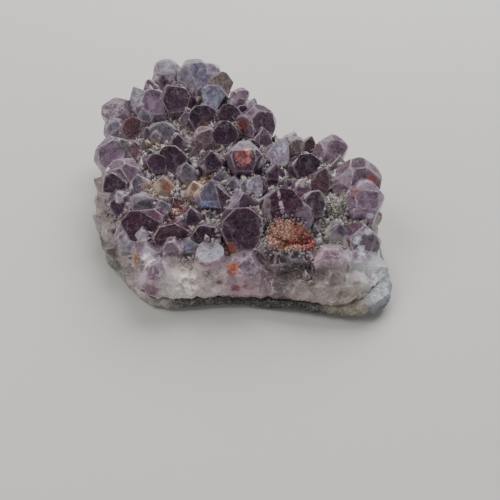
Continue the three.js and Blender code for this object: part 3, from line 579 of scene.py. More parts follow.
# The crystals that can be told apart: name, tip x, y, z, lean to +X and to +Y, width, direction of
# one tip face in degrees from -Y towards +X, form and tone
POINTS = [
    ("back_cap", -31.5, 44, 34, -0.1, 0.3, 11, 10, "blunt", "frost"),
    ("back_left_nub", -35.5, 38, 32, -0.4, 0.3, 4, 0, "point", "mauve"),
    ("twin_left", -38, 36, 31, -0.35, 0.25, 7, 20, "point", "dark"),
    ("white_point", -43, 31, 30.5, -0.35, 0.2, 10, 25, "point", "frost"),
    ("lilac_back", -35.5, 28.5, 30, -0.15, 0.05, 11.5, 0, "chisel", "lilac"),
    ("aubergine_back", -27, 29, 32, -0.05, 0.05, 12.5, 5, "chisel", "dark"),
    ("mauve_corner", -52.5, 28, 26, -0.55, 0.25, 11.5, 15, "blunt", "mauve"),
    ("corner_low", -52, 18, 23.5, -0.6, 0.1, 8.5, 30, "blunt", "slate"),
    ("wine", -43, 16, 26, -0.2, 0, 9.5, 10, "chisel", "wine"),
    ("grey_face", -31, 14.5, 25.5, 0, 0, 11, 0, "chisel", "slate"),
    ("left_dark_small", -36.5, 12.5, 25, 0.1, -0.1, 5, 25, "point", "dark"),
    ("slate_small", -33, 11, 24.5, 0, -0.2, 5.5, 0, "point", "slate"),
    ("green_lump", -46, 13, 22, -0.3, 0, 7, 40, "point", "green"),
    ("great_back", -19.5, 43.5, 34, 0, 0.3, 16, 30, "blunt", "cloudy"),
    ("back_shoulder", -12, 43.5, 33, 0.25, 0.3, 6.5, 0, "blunt", "cloudy"),
    ("olive_edge", -7.5, 38, 31, 0.4, 0.3, 9.5, 20, "chisel", "olive"),
    ("blue_back", -11, 32, 30, 0.1, 0.05, 10, 350, "chisel", "purple"),
    ("round_pink", 0, 32, 29, 0.3, 0.3, 7, 10, "blunt", "mauve"),
    ("grey_by_pink", -3, 30, 28, 0, 0.1, 6.5, 35, "point", "slate"),
    ("white_edge", 5, 29.5, 26.5, 0.5, 0.4, 5.5, 0, "point", "frost"),
    ("dark_back_mid", -15.5, 20.5, 29, 0, 0, 11.5, 15, "chisel", "dark"),
    ("dark_wide_left", -5.5, 18.5, 30, -0.1, 0, 9.5, 0, "chisel", "dark"),
    ("dark_wide_right", 0.5, 19, 29, 0.15, 0, 9, 20, "chisel", "dark"),
    ("red_back", 0.5, 15, 28, 0.1, -0.1, 9, 5, "point", "wine"),
    ("dark_mid_back", -6.5, 10.5, 28, 0, -0.1, 10.5, 0, "chisel", "dark"),
    ("pinkish_mid", -15, 10, 26, -0.1, 0, 9.5, 25, "blunt", "rosy"),
    ("right_back_big", 7.5, 18, 29.5, 0.35, 0.2, 14, 20, "blunt", "purple"),
    ("sliver", 20, 10, 25.5, 0.5, 0.4, 5.5, 0, "point", "frost"),
    ("great_triangle", 15.5, 2, 29, 0, 0, 14, 335, "point", "slate"),
    ("arch_behind", 20, 4, 27, 0.2, 0.2, 9, 20, "blunt", "olive"),
    ("brown_lilac", 26, 5, 27, 0.3, 0.3, 9.5, 10, "point", "brown"),
    ("grey_mauve_right", 34.5, 2.5, 28, 0.35, 0.3, 10.5, 0, "blunt", "mauve"),
    ("small_pale_right", 31, -2.5, 26, 0.1, 0, 6, 15, "point", "frost"),
    ("brown_pink", 35.5, -4.5, 26, 0.3, 0.1, 7.5, 30, "point", "brown"),
    ("dark_purple_right", 23, -6.5, 27, 0, 0, 10.5, 10, "chisel", "dark"),
    ("maroon_right", 29.5, -12.5, 27, 0.05, -0.05, 11, 340, "point", "wine"),
    ("pale_blue_triangle", 6, -16, 26.5, 0.1, -0.1, 8, 345, "point", "frost"),
    ("left_big", -50.5, 3, 26, -0.45, 0.05, 13.5, 20, "blunt", "lilac"),
    ("left_fused", -45, -8, 24, -0.3, -0.05, 13.5, 0, "blunt", "mauve"),
    ("left_low_dark", -46.5, -13, 22.5, -0.4, -0.1, 10.5, 15, "chisel", "dark"),
    ("dark_left_inner", -31.5, -3, 25, 0, 0, 8.5, 10, "chisel", "purple"),
    ("dark_left_middle", -26, -1.5, 26, 0, 0, 12, 0, "chisel", "dark"),
    ("bright_tooth", -43, -20, 22.5, -0.3, -0.1, 4.5, 0, "point", "frost"),
    ("slate_left", -35, -22.5, 22, -0.1, -0.1, 10, 20, "blunt", "slate"),
    ("rim_brown", -51, -18, 19.5, -0.8, -0.1, 7, 0, "point", "olive"),
    ("grey_lilac_left", -45, -20, 20, -0.5, -0.2, 9.5, 30, "blunt", "purple"),
    ("black_centre", -11, -4.5, 28, 0, 0, 9.5, 15, "point", "dark"),
    ("red_centre", 1, -5, 30, 0, 0, 13, 0, "blunt", "purple"),
    ("ridge_right_centre", 6, -6, 27.5, 0.1, -0.1, 6.5, 20, "point", "slate"),
    ("blue_centre", -10, -20, 28, 0, -0.05, 12.5, 350, "point", "slate"),
    ("beige_patch", -16.5, -17.5, 25, -0.1, 0, 8.5, 10, "point", "sandy"),
    ("grey_pyramid_left", -3, -16, 26, 0, -0.1, 6, 0, "point", "slate"),
    ("grey_pyramid_right", 1, -16, 25, 0, 0, 5.5, 20, "point", "slate"),
    ("outer_centre", 1, -25.5, 27.5, 0, 0, 18, 20, "point", "purple"),
    ("inner_centre", 0.5, -34.5, 26.5, 0, -0.1, 16, 5, "chisel", "dark"),
    ("great_magenta", 14.5, -29.5, 30, 0, -0.05, 16.5, 350, "chisel", "violet"),
    ("dark_by_magenta", 25, -26, 27, 0.1, -0.1, 9.5, 10, "chisel", "dark"),
    ("speckled_right", 33.5, -24, 22.5, 0.1, -0.1, 10, 25, "point", "crust"),
    ("mauve_right", 41, -14, 30, 0, 0.1, 15.5, 15, "blunt", "mauve"),
    ("mauve_right_low", 42.5, -23, 28, 0.1, 0, 12.5, 0, "blunt", "lilac"),
    ("blue_right", 41, -36.5, 23, 0.1, -0.1, 13.5, 10, "point", "purple"),
    ("left_deep", -33.5, -31.5, 24, -0.1, -0.2, 15.5, 0, "chisel", "violet"),
    ("left_deep_low", -24, -36.5, 22, 0, -0.25, 13, 15, "chisel", "violet"),
    ("small_point", -33, -36, 20.5, -0.1, -0.3, 6, 0, "point", "frost"),
    ("white_lump", -31.5, -43.5, 17, -0.2, -0.5, 11.5, 20, "blunt", "bright"),
    ("front_left_lump", -28, -50.5, 14.5, -0.2, -0.7, 11.5, 0, "blunt", "lilac"),
    ("left_side_purple", -41, -32.5, 17, -0.5, -0.4, 9, 10, "blunt", "lilac"),
    ("left_side_pale", -40, -37.5, 14, -0.6, -0.6, 9, 0, "blunt", "frost"),
    ("blue_white_small", -17, -40, 20.5, 0, -0.2, 6, 0, "point", "slate"),
    ("lilac_disc", -10, -43.5, 18.5, 0, 0, 9.5, 30, "disc", "petal"),
    ("dark_front_mid", -12, -36, 22, 0, -0.1, 9.5, 15, "chisel", "dark"),
    ("orange_front", 1, -47.5, 16, 0, -0.4, 15.5, 0, "blunt", "lilac"),
    ("grey_round", 8.5, -40, 19, 0, -0.2, 8.5, 20, "blunt", "mauve"),
    ("dull_front", -23, -42, 18.5, -0.1, -0.4, 9.5, 0, "blunt", "mauve"),
    ("pink_brown_left", 13, -46, 16.5, 0, -0.5, 8.5, 15, "blunt", "brown"),
    ("pink_brown_middle", 18, -45, 17.5, 0, -0.5, 8.5, 0, "blunt", "brown"),
    ("pink_brown_right", 23.5, -45, 17, 0.1, -0.4, 6.5, 20, "point", "wine"),
    ("magenta_foot", -6, -48, 14.5, 0, -0.7, 10, 20, "blunt", "violet"),
    ("pink_front", 29.5, -45, 18, 0.05, -0.3, 12.5, 0, "blunt", "blush"),
    ("corner_front_right", 39, -44, 16, 0.1, -0.4, 12, 15, "blunt", "lilac"),
    ("front_mass_right", 45, -44, 13.5, 0.3, -0.2, 11, 10, "blunt", "bright"),
    ("front_block_right", 31, -50.5, 13.5, 0.1, -0.7, 10, 10, "blunt", "rosy"),
    ("front_block_corner", 38, -52.5, 12.5, 0.2, -0.8, 9, 25, "blunt", "milk"),
    ("front_block_middle", 20, -52, 11, 0, -0.8, 8, 5, "blunt", "cream"),
    ("front_block_small", 11.5, -51, 11, 0, -0.9, 6, 20, "blunt", "cream"),
    ("front_block_left", -14, -50.5, 12.5, 0, -0.9, 9, 0, "blunt", "milk"),
    ("front_block_far_left", -21, -51, 12, -0.1, -0.9, 8, 20, "blunt", "milk"),
    ("back_slope_left", -25, 38, 27, 0, 0.1, 8, 0, "point", "purple"),
    ("back_slope_right", -16, 33, 27, 0.1, 0.1, 7.5, 20, "point", "purple"),
    ("saddle_left", -22, 21.5, 26, -0.1, 0, 8, 0, "point", "slate"),
    ("saddle_right", 8, 10, 27, 0.1, 0, 8.5, 25, "point", "purple"),
    ("left_inner_back", -39, 22.5, 26.5, -0.1, 0, 8, 15, "point", "slate"),
    ("left_dark_back", -24, 8, 25.5, 0, 0, 7.5, 0, "point", "purple"),
    ("hollow_rim", -48, 9, 21.5, -0.4, 0, 8, 0, "point", "green"),
    ("middle_left", -20, -8, 25.5, 0, 0, 8.5, 20, "point", "slate"),
    ("low_middle_left", -28, -13, 23.5, 0, 0, 8.5, 0, "point", "sandy"),
    ("left_middle_low", -37, -12, 23.5, -0.1, 0, 8, 10, "point", "slate"),
    ("right_middle", 12, -9, 26, 0.1, 0, 8, 0, "point", "purple"),
    ("right_of_middle", 21, -16, 25, 0, 0, 8, 20, "point", "purple"),
    ("right_low", 33, -33, 21, 0.1, -0.1, 9, 0, "point", "slate"),
    ("front_magenta_foot", 20, -36, 20.5, 0, -0.3, 10, 10, "point", "violet"),
    ("low_centre_left", -17, -28, 23, 0, -0.1, 9, 10, "point", "purple"),
    ("left_edge_low", -27.5, -24.5, 23, 0, 0, 7, 25, "point", "slate"),
]


def chance(item, key):
    """A repeatable number from 0 to 1 for the key-th choice made for item number `item`."""
    wave = math.sin(item * ITEM_STRIDE + key * KEY_STRIDE) * WAVE_HEIGHT
    return wave - math.floor(wave)


def pick(item, choice, step=0):
    return chance(item, CHOICE[choice] + step)


def between(span, share):
    return span[0] + (span[1] - span[0]) * share


def smoothstep(low, high, value):
    share = np.clip((value - low) / (high - low), 0, 1)
    return share * share * (3 - 2 * share)


def closed_curve(points, at):
    """A closed centripetal Catmull-Rom curve through the points, read at 0 to 1 of its length."""
    count = len(points)
    whole = int(count * at)
    part = count * at - whole
    before, start, end, after = (points[(whole + step) % count] for step in (-1, 0, 1, 2))
    gaps = [float(np.sum((b - a) ** 2)) ** 0.25 for a, b in ((before, start), (start, end), (end, after))]
    middle = gaps[1] if gaps[1] > WELD_DISTANCE else 1.0
    first, last = (gap if gap > WELD_DISTANCE else middle for gap in (gaps[0], gaps[2]))
    leave = (start - before) / first - (end - before) / (first + middle) + (end - start) / middle
    arrive = (end - start) / middle - (after - start) / (middle + last) + (after - end) / last
    leave, arrive = leave * middle, arrive * middle
    square = 3 * (end - start) - 2 * leave - arrive
    cube = 2 * (start - end) + leave + arrive
    return start + leave * part + square * part**2 + cube * part**3


def rim_stations():
    rim = np.array(RIM, float)
    stations = []
    for step in range(RIM_STEPS):
        x, y = closed_curve(rim[:, :2], step / RIM_STEPS)
        rock_top, quartz_top, shelf = closed_curve(rim[:, 2:], step / RIM_STEPS)
        out_x, out_y = x - MIDDLE_OF_PLATE[0], y - MIDDLE_OF_PLATE[1]
        stations.append({
            "x": x, "y": y, "rock": rock_top, "quartz": quartz_top, "shelf": max(0, shelf),
            "reach": math.hypot(out_x, out_y), "heading": math.atan2(out_y, out_x),
        })
    return stations


def ring(stations, share, height, shelf=0, rough=0, key=0):
    points = []
    for i, station in enumerate(stations):
        bump = rough * (2 * chance(i, key) - 1)
        lift = rough * (2 * chance(i, key + LIFT_KEY) - 1)
        scale = share + (bump - station["shelf"] * shelf) / station["reach"]
        x = MIDDLE_OF_PLATE[0] + (station["x"] - MIDDLE_OF_PLATE[0]) * scale
        y = MIDDLE_OF_PLATE[1] + (station["y"] - MIDDLE_OF_PLATE[1]) * scale
        points.append((x, y, max(0, height(station) + lift)))
    return points


def plateau_height(y):
    return PLATEAU_HEIGHT + PLATEAU_SLOPE * (y - MIDDLE_OF_PLATE[1])


def rise(quartz, y, share):
    """Height of the crust at a share of the way out, from the quartz's height at the rim there."""
    inset = np.clip((1 - share) / (1 - PLATEAU_SHARE), 0, 1)
    climb = 1 - (1 - inset) ** EDGE_ROUNDING
    return quartz + (plateau_height(y) - quartz) * climb


def crust_height(station, share):
    y = MIDDLE_OF_PLATE[1] + (station["y"] - MIDDLE_OF_PLATE[1]) * share
    return rise(station["quartz"], y, share)


def crust_rings(stations):
    rings = []
    keys = itertools.count(FIRST_WALL_KEY)
    for share, shelf, part in MEETING_RINGS:
        rings.append(ring(stations, share, lambda s: between((LAYER_HEIGHT, s["rock"]), part), shelf))
    for share, shelf, part, rough in WALL_RINGS:
        rings.append(ring(
            stations, share, lambda s: between((s["rock"], s["quartz"]), part), shelf, rough, next(keys)))
    for share, shelf, rough in BROW_RINGS:
        rings.append(ring(stations, share, lambda s: crust_height(s, share), shelf, rough, next(keys)))
    rings.append(ring(stations, PLATEAU_SHARE, lambda s: crust_height(s, PLATEAU_SHARE)))
    return rings


def crust_mesh(stations):
    """The quartz between the crystals: rings round the plate's middle, closed below and above."""
    rings = crust_rings(stations)
    count = len(stations)
    corners = [corner for one in rings for corner in one]
    corners.append((*MIDDLE_OF_PLATE, LAYER_HEIGHT))
    corners.append((*MIDDLE_OF_PLATE, plateau_height(MIDDLE_OF_PLATE[1])))
    faces = []
    last = (len(rings) - 1) * count
    for i in range(count):
        after = (i + 1) % count
        faces.append((len(corners) - 2, after, i))
        faces.append((last + i, last + after, len(corners) - 1))
        for low in range(0, last, count):
            faces.append((low + i, low + after, low + count + after, low + count + i))
    mesh = bpy.data.meshes.new("crust")
    mesh.from_pydata(corners, [], faces)
    return mesh


def corners_inside(normals, offsets):
    """The corners of the convex body that lies inside every plane."""
    triples = np.array(list(itertools.combinations(range(len(normals)), 3)))
    matrices = normals[triples]
    solvable = np.abs(np.linalg.det(matrices)) > LEAST_DETERMINANT
    found = np.linalg.solve(matrices[solvable], offsets[triples[solvable]][..., None])[..., 0]
    inside = (found @ normals.T <= offsets + PLANE_SLACK).all(1)
    return np.unique(np.round(found[inside], 5), axis=0)


def crystal(tip, lean, width, turn, item, foot, tone, form="point", name=None):
    """One quartz crystal as the planes that bound it: six sides, a six-faced tip and a base."""
    tip = np.array(tip, float)
    axis = np.array((lean[0], lean[1], 1.0))
    axis /= np.linalg.norm(axis)
    towards = np.array((math.sin(turn), -math.cos(turn), 0.0))
    forward = towards - axis * (towards @ axis)
    forward /= np.linalg.norm(forward)
    side = np.cross(axis, forward)
    ridge, cap = FORMS[form]
    normals, points = [], []
    for face in range(6):
        out = forward * math.cos(face * SIXTH_TURN) + side * math.sin(face * SIXTH_TURN)
        spread = width / 2 * between(SIDE_FACE_SPREAD, chance(item, face))
        normals.append(out)
        points.append(tip + out * spread)
        tip_normal = out * math.sin(TIP_FACE_ANGLE) + axis * math.cos(TIP_FACE_ANGLE)
        setback = between(SMALL_TIP_FACE_SETBACK, pick(item, "tip_face", face))
        stand_off = cap + (ridge if face % 3 else 0) + (setback if face % 2 else 0)
        normals.append(tip_normal)
        points.append(tip + tip_normal * width / 2 * stand_off)
    if cap > 0:
        normals.append(axis)
        points.append(tip)
    normals.append(-axis)
    points.append(tip - axis * ((tip[2] - foot) / axis[2]))
    if form == "disc":
        for face in range(6):
            around = (face + 0.5) * SIXTH_TURN
            normals.append(forward * math.cos(around) + side * math.sin(around))
            points.append(tip + normals[-1] * width / 2)
    normals, points = np.array(normals), np.array(points)
    offsets = np.sum(normals * points, axis=1)
    normals, offsets = chipped(normals, offsets, width, item, None if cap else tip)
    corners = corners_inside(normals, offsets)
    middle = corners.mean(0)
    return {
        "name": name, "tip": tip, "axis": axis, "width": width, "tone": tone, "form": form,
        "item": item, "normals": normals, "offsets": offsets, "corners": corners, "middle": middle,
        "reach": np.linalg.norm(corners - middle, axis=1).max(),
    }


def chipped(normals, offsets, width, item, spared):
    """Planes of a crystal with a few more that knock its upper corners off, but not its point."""
    corners = corners_inside(normals, offsets)
    middle = corners.mean(0)
    upper = corners[corners[:, 2] > middle[2]]
    for i in range(CHIPS):
        corner = upper[int(pick(item, "chip", i) * len(upper))]
        askew = np.array([pick(item, "skew", 3 * i + axis) - 0.5 for axis in range(3)])
        out = (corner - middle) / np.linalg.norm(corner - middle) + CHIP_SKEW * askew
        out /= np.linalg.norm(out)
        furthest = corners[(corners @ out).argmax()]
        if spared is not None and np.linalg.norm(furthest - spared) < TIP_SPARED * width:
            continue
        depth = width * between(CHIP_DEPTH, pick(item, "chip_depth", i))
        normals = np.vstack([normals, out])
        offsets = np.append(offsets, (corners @ out).max() - depth)
    return normals, offsets


def named_crystals():
    return [
        crystal(
            (x, y, z), (lean_x, lean_y), width, math.radians(turn), item,
            max(LOWEST_FOOT, z - NAMED_LENGTH), tone, form, name)
        for item, (name, x, y, z, lean_x, lean_y, width, turn, form, tone) in enumerate(POINTS)
    ]


def station_towards(stations, x, y):
    """The rim's station in a place's direction, how far out the place is, and that direction."""
    out_x, out_y = x - MIDDLE_OF_PLATE[0], y - MIDDLE_OF_PLATE[1]
    heading = math.atan2(out_y, out_x)

    def off_heading(station):
        off = abs(station["heading"] - heading)
        return min(off, 2 * math.pi - off)

    nearest = min(stations, key=off_heading)
    return nearest, math.hypot(out_x, out_y) / nearest["reach"], heading


def is_crowded(x, y):
    return any(
        math.hypot(tip_x - x, tip_y - y) < width / 2 + SCATTER_CLEARANCE
        for _, tip_x, tip_y, _, _, _, width, *_ in POINTS
    )


def scattered_crystals(stations):
    crystals = []
    grid = itertools.product(*(
        range(start, end + 1, SCATTER_STEP) for start, end in zip(SCATTER_FROM, SCATTER_TO)))
    for item, (grid_x, grid_y) in enumerate(grid, FIRST_SCATTER_ITEM + 1):
        x = grid_x + SCATTER_STEP * (pick(item, "x") - 0.5)
        y = grid_y + SCATTER_STEP * (pick(item, "y") - 0.5)
        nearest, share, heading = station_towards(stations, x, y)
        if share > SCATTER_TO_SHARE or is_crowded(x, y):
            continue
        ground = crust_height(nearest, share)
        outward = SCATTER_OUTWARD_LEAN * max(0, share - SCATTER_LEAN_FROM_SHARE)
        lean = (
            outward * math.cos(heading) + SCATTER_STRAY_LEAN * (pick(item, "lean_x") - 0.5),
            outward * math.sin(heading) + SCATTER_STRAY_LEAN * (pick(item, "lean_y") - 0.5),
        )
        tip = (x, y, ground + between(SCATTER_STAND, pick(item, "stand")))
        width = between(SCATTER_WIDTH, pick(item, "width"))
        turn = SIXTH_TURN * pick(item, "turn")
        crystals.append(crystal(tip, lean, width, turn, item, ground - SCATTER_DEPTH, small_tone(item)))
    return crystals


def edge_crystals(stations):
    crystals = []
    walked = EDGE_STEP
    for i, station in enumerate(stations):
        before = stations[i - 1]
        walked += math.hypot(station["x"] - before["x"], station["y"] - before["y"])
        out_x, out_y = math.cos(station["heading"]), math.sin(station["heading"])
        from_front = math.atan2(out_x, -out_y)
        if walked < EDGE_STEP or EDGE_BARE[0] < from_front < EDGE_BARE[1]:
            continue
        walked = 0
        item = FIRST_EDGE_ITEM + i
        lean = between(EDGE_LEAN, pick(item, "lean"))
        height = station["quartz"] + between(EDGE_STAND, pick(item, "stand"))
        tip = (station["x"] + EDGE_OVERHANG * out_x, station["y"] + EDGE_OVERHANG * out_y, height)
        width = between(EDGE_WIDTH, pick(item, "width"))
        turn = SIXTH_TURN * pick(item, "turn")
        crystals.append(crystal(
            tip, (lean * out_x, lean * out_y), width, turn, item, height - EDGE_DEPTH, small_tone(item)))
    return crystals


def small_tone(item):
    return SMALL_TONES[int(pick(item, "tone") * len(SMALL_TONES))]


def crystal_object(one, collection):
    """A crystal as a closed mesh whose edges are worn off by a narrow flat."""
    bm = bmesh.new()
    for corner in one["corners"]:
        bm.verts.new(corner)
    bmesh.ops.convex_hull(bm, input=bm.verts)
    bmesh.ops.dissolve_limit(bm, angle_limit=FLAT_ANGLE, verts=bm.verts, edges=bm.edges)
    wear = between(EDGE_WEAR, pick(one["item"], "wear"))
    sharp = [edge for edge in bm.edges if edge.calc_face_angle() > SHARP_ANGLE]
    bmesh.ops.bevel(bm, geom=sharp, offset=wear, segments=1, affect="EDGES", clamp_overlap=True)
    mesh = bpy.data.meshes.new(f"crystal_{one['item']}")
    bm.to_mesh(mesh)
    bm.free()
    made = bpy.data.objects.new(mesh.name, mesh)
    collection.objects.link(made)


def grown_together(stations, crystals):
    """Crust and crystals joined in one closed body: its corners and triangles, in millimetres."""
    parts = bpy.data.collections.new("growing")
    bpy.context.scene.collection.children.link(parts)
    for one in crystals:
        crystal_object(one, parts)
    crust = bpy.data.objects.new("crust", crust_mesh(stations))
    bpy.context.scene.collection.objects.link(crust)
    join = crust.modifiers.new("join", "BOOLEAN")
    join.operation = "UNION"
    join.solver = "MANIFOLD"
    join.operand_type = "COLLECTION"
    join.collection = parts
    graph = bpy.context.evaluated_depsgraph_get()
    joined = bpy.data.meshes.new_from_object(crust.evaluated_get(graph))
    for made in (*parts.objects, crust):
        bpy.data.objects.remove(made)
    bpy.data.collections.remove(parts)
    return triangles_of(joined)


def triangles_of(mesh):
    """Welded corners and triangles of a mesh, without pairs of triangles that lie on one another."""
    bm = bmesh.new()
    bm.from_mesh(mesh)
    bmesh.ops.remove_doubles(bm, verts=bm.verts, dist=WELD_DISTANCE)
    bmesh.ops.triangulate(bm, faces=bm.faces)
    corners = np.array([vertex.co for vertex in bm.verts])
    triangles = np.array([[vertex.index for vertex in face.verts] for face in bm.faces])
    bm.free()
    _, back, count = np.unique(np.sort(triangles, axis=1), axis=0, return_inverse=True, return_counts=True)
    return corners, triangles[count[back.reshape(-1)] == 1]


def longest_edge(points, stations, seen_pitch, below=math.inf):
    """The longest edge allowed at each place, more where crust and rock lie on one another."""
    unseen = (share_out(points, stations)[0] < UNSEEN_SHARE) & (points[:, 2] < below)
    return np.where(unseen, UNSEEN_PITCH, seen_pitch)


def split_long_edges(corners, triangles, longest):
    """Cuts edges in half, again and again, where they are longer than `longest` allows there."""
    while True:
        edges = np.sort(triangles[:, [[0, 1], [1, 2], [2, 0]]], axis=2).reshape(-1, 2)
        unique, back = np.unique(edges, axis=0, return_inverse=True)
        back = back.reshape(-1)
        start, end = corners[unique[:, 0]], corners[unique[:, 1]]
        long = np.linalg.norm(end - start, axis=1) > longest((start + end) / 2)
        if not long.any():
            return corners, triangles
        middle = np.full(len(unique), -1)
        middle[long] = len(corners) + np.arange(long.sum())
        corners = np.vstack([corners, corners[unique[long]].mean(1)])
        middle = middle[back].reshape(-1, 3)
        triangles = cut_triangles(triangles, middle)


def cut_triangles(triangles, middle):
    """Triangles cut at the middles of their long edges; -1 is an edge that stays whole."""
    cuts = (middle >= 0).sum(1)
    pieces = [triangles[cuts == 0]]

    def add(chosen, *made):
        pieces.extend(np.stack(one, 1)[chosen] for one in made)

    for turn in range(3):
        a, b, c = np.roll(triangles, -turn, axis=1).T
        ab, bc, ca = np.roll(middle, -turn, axis=1).T
        add((cuts == 1) & (ab >= 0), (a, ab, c), (ab, b, c))
        add((cuts == 2) & (ca < 0), (ab, b, bc), (a, ab, bc), (a, bc, c))
    a, b, c = triangles.T
    ab, bc, ca = middle.T
    add(cuts == 3, (a, ab, ca), (ab, b, bc), (ca, bc, c), (ab, bc, ca))
    return np.vstack(pieces)


def unit(vectors):
    return vectors / np.maximum(np.linalg.norm(vectors, axis=1, keepdims=True), LEAST_LENGTH)


def spanned(corners, triangles):
    """The first corner of each triangle, the two sides from there and their cross product."""
    first, second, third = (corners[triangles[:, i]] for i in range(3))
    return first, second - first, third - first, np.cross(second - first, third - first)


def corner_normals(corners, triangles):
    across = spanned(corners, triangles)[3]
    total = np.zeros_like(corners)
    for i in range(3):
        np.add.at(total, triangles[:, i], across)
    return unit(total)


def spread_over_edges(values, triangles, rounds):
    """Evens out a value over neighbouring corners."""
    a = triangles[:, [0, 1, 2]].ravel()
    b = triangles[:, [1, 2, 0]].ravel()
    count = np.bincount(a, minlength=len(values)) + np.bincount(b, minlength=len(values))
    for _ in range(rounds):
        total = np.bincount(a, values[b], len(values)) + np.bincount(b, values[a], len(values))
        values = 0.5 * values + 0.5 * total / np.maximum(count, 1)
    return values


def owners(points, crystals):
    """For each point the crystal whose surface it lies on, or -1, the plane it lies on, how far it
    is out of that plane, and how far in from the next one."""
    depth = np.full(len(points), -BURIED)
    owner = np.full(len(points), -1)
    plane = np.full(len(points), -1)
    margin = np.full(len(points), FAR_FROM_EDGE)
    for number, one in enumerate(crystals):
        near = np.nonzero(np.linalg.norm(points - one["middle"], axis=1) < one["reach"] + NEAR_REACH)[0]
        if len(near) == 0:
            continue
        out = points[near] @ one["normals"].T - one["offsets"]
        nearest = out.argmax(axis=1)
        out.sort(axis=1)
        hit = (out[:, -1] > depth[near]) & (out[:, -1] < OUT_OF_PLANE)
        depth[near[hit]] = out[hit, -1]
        owner[near[hit]] = number
        plane[near[hit]] = nearest[hit]
        margin[near[hit]] = np.minimum(-out[hit, -2], FAR_FROM_EDGE)
    return owner, plane, depth, margin


def sky_shut_out(corners, triangles, normals):
    """How much of the sky over each corner its neighbours hide, from 0 to 1."""
    tree = BVHTree.FromPolygons(corners.tolist(), triangles.tolist())
    ways = []
    for i in range(SKY_RAYS):
        height = SKY_LOWEST + SKY_SPAN * (i + 0.5) / SKY_RAYS
        around = i * math.pi * (3 - math.sqrt(5))
        level = math.sqrt(1 - height**2)
        ways.append(Vector((level * math.cos(around), level * math.sin(around), height)))
    shut = np.zeros(len(corners))
    for i, (corner, normal) in enumerate(zip(corners.tolist(), normals.tolist())):
        start = Vector(corner) + Vector(normal) * SKY_START
        open_ways = [way for way in ways if way.dot(normal) > SKY_GRAZING]
        hits = sum(tree.ray_cast(start, way, SKY_REACH)[0] is not None for way in open_ways)
        shut[i] = hits / max(1, len(open_ways))
    return shut


def rough_up(corners, normals, amount, size, seed):
    """Noise along the normals, in millimetres: amount may be a number for each corner."""
    shift = Vector((seed, seed, seed))
    lift = np.array([noise.noise(Vector(corner) / size + shift) for corner in corners.tolist()])
    return corners + normals * (lift * amount)[:, None]


def new_piece(name, corners, triangles, material, smooth_below=None):
    """A piece of the visual model, from millimetres in the part's terms."""
    mesh = bpy.data.meshes.new(name)
    mesh.vertices.add(len(corners))
    mesh.vertices.foreach_set("co", ((corners - CENTRE_OF_BOX) * MM).astype(np.float32).ravel())
    mesh.loops.add(triangles.size)
    mesh.loops.foreach_set("vertex_index", triangles.astype(np.int32).ravel())
    mesh.polygons.add(len(triangles))
    mesh.polygons.foreach_set("loop_start", np.arange(0, triangles.size, 3, dtype=np.int32))
    mesh.update(calc_edges=True)
    mesh.validate()
    if smooth_below is not None:
        mesh.polygons.foreach_set("use_smooth", np.ones(len(triangles), bool))
        mesh.set_sharp_from_angle(angle=smooth_below)
    piece = bpy.data.objects.new(name, mesh)
    bpy.context.scene.collection.objects.link(piece)
    mesh.materials.append(material)
    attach(piece, "root")
    return piece


def store(mesh, name, kind, domain, values):
    attribute = mesh.attributes.new(name, kind, domain)
    key = "color" if kind == "FLOAT_COLOR" else "value"
    attribute.data.foreach_set(key, np.asarray(values, np.float32).ravel())


def store_colour(mesh, name, domain, colours):
    store(mesh, name, "FLOAT_COLOR", domain, np.hstack([colours, np.ones((len(colours), 1))]))


def linear(colour):
    """A colour from 0 to 255, as the eye sees it, in the amounts of light that a material takes."""
    colour = np.asarray(colour, float) / 255
    return np.where(colour <= 0.04045, colour / 12.92, ((colour + 0.055) / 1.055) ** 2.4)


def share_out(points, stations):
    """How far out each point is, as a share of the way to the rim, and the quartz's height there."""
    out = points[:, :2] - MIDDLE_OF_PLATE
    towards = np.arctan2(out[:, 1], out[:, 0])
    headings, reaches, heights = (
        np.array([station[key] for station in stations]) for key in ("heading", "reach", "quartz"))
    order = np.argsort(headings)
    reach, quartz = (
        np.interp(towards, headings[order], values[order], period=2 * math.pi)
        for values in (reaches, heights)
    )
    return np.hypot(*out.T) / reach, quartz


def crust_under(points, stations):
    """Height of the crust under each point."""
    share, quartz = share_out(points, stations)
    return rise(quartz, points[:, 1], share)


def colour_by_place(points, spots, elsewhere, share_elsewhere):
    """Colours that pass into one another round the spots of a table."""
    total = share_elsewhere * linear(elsewhere) + np.zeros((len(points), 3))
    weight = np.full((len(points), 1), float(share_elsewhere))
    for x, y, reach, colour in spots:
        away = np.hypot(points[:, 0] - x, points[:, 1] - y)[:, None] / reach
        total += np.exp(-away**2) * linear(colour)
        weight += np.exp(-away**2)
    return total / weight


def near_spot(points, x, y, z, radius):
    away = np.linalg.norm(points - (x, y, z), axis=1)
    return np.clip(SPOT_FADE - away / radius, 0, 1)


def near_streak(points, start, end, half):
    along = np.subtract(end, start)
    share = np.clip((points - start) @ along / (along @ along), 0, 1)
    away = np.linalg.norm(points - start - share[:, None] * along, axis=1)
    return np.clip(SPOT_FADE - away / half, 0, 1)


def stained_and_painted(points):
    """How strongly each point takes a spot's colour, stain and painted light alike, from 0 to 1, and the
    colour.
    """
    strength = np.zeros(len(points))
    colours = np.zeros((len(points), 3))
    spots = [(near_spot(points, x, y, z, radius), colour) for x, y, z, radius, colour in STAINS_AND_PAINTED_LIGHT]
    spots += [(near_streak(points, *streak[:3]), streak[3]) for streak in GLINT_STREAKS]
    for here, colour in spots:
        stronger = here > strength
        strength[stronger] = here[stronger]
        colours[stronger] = linear(colour)
    return strength, colours


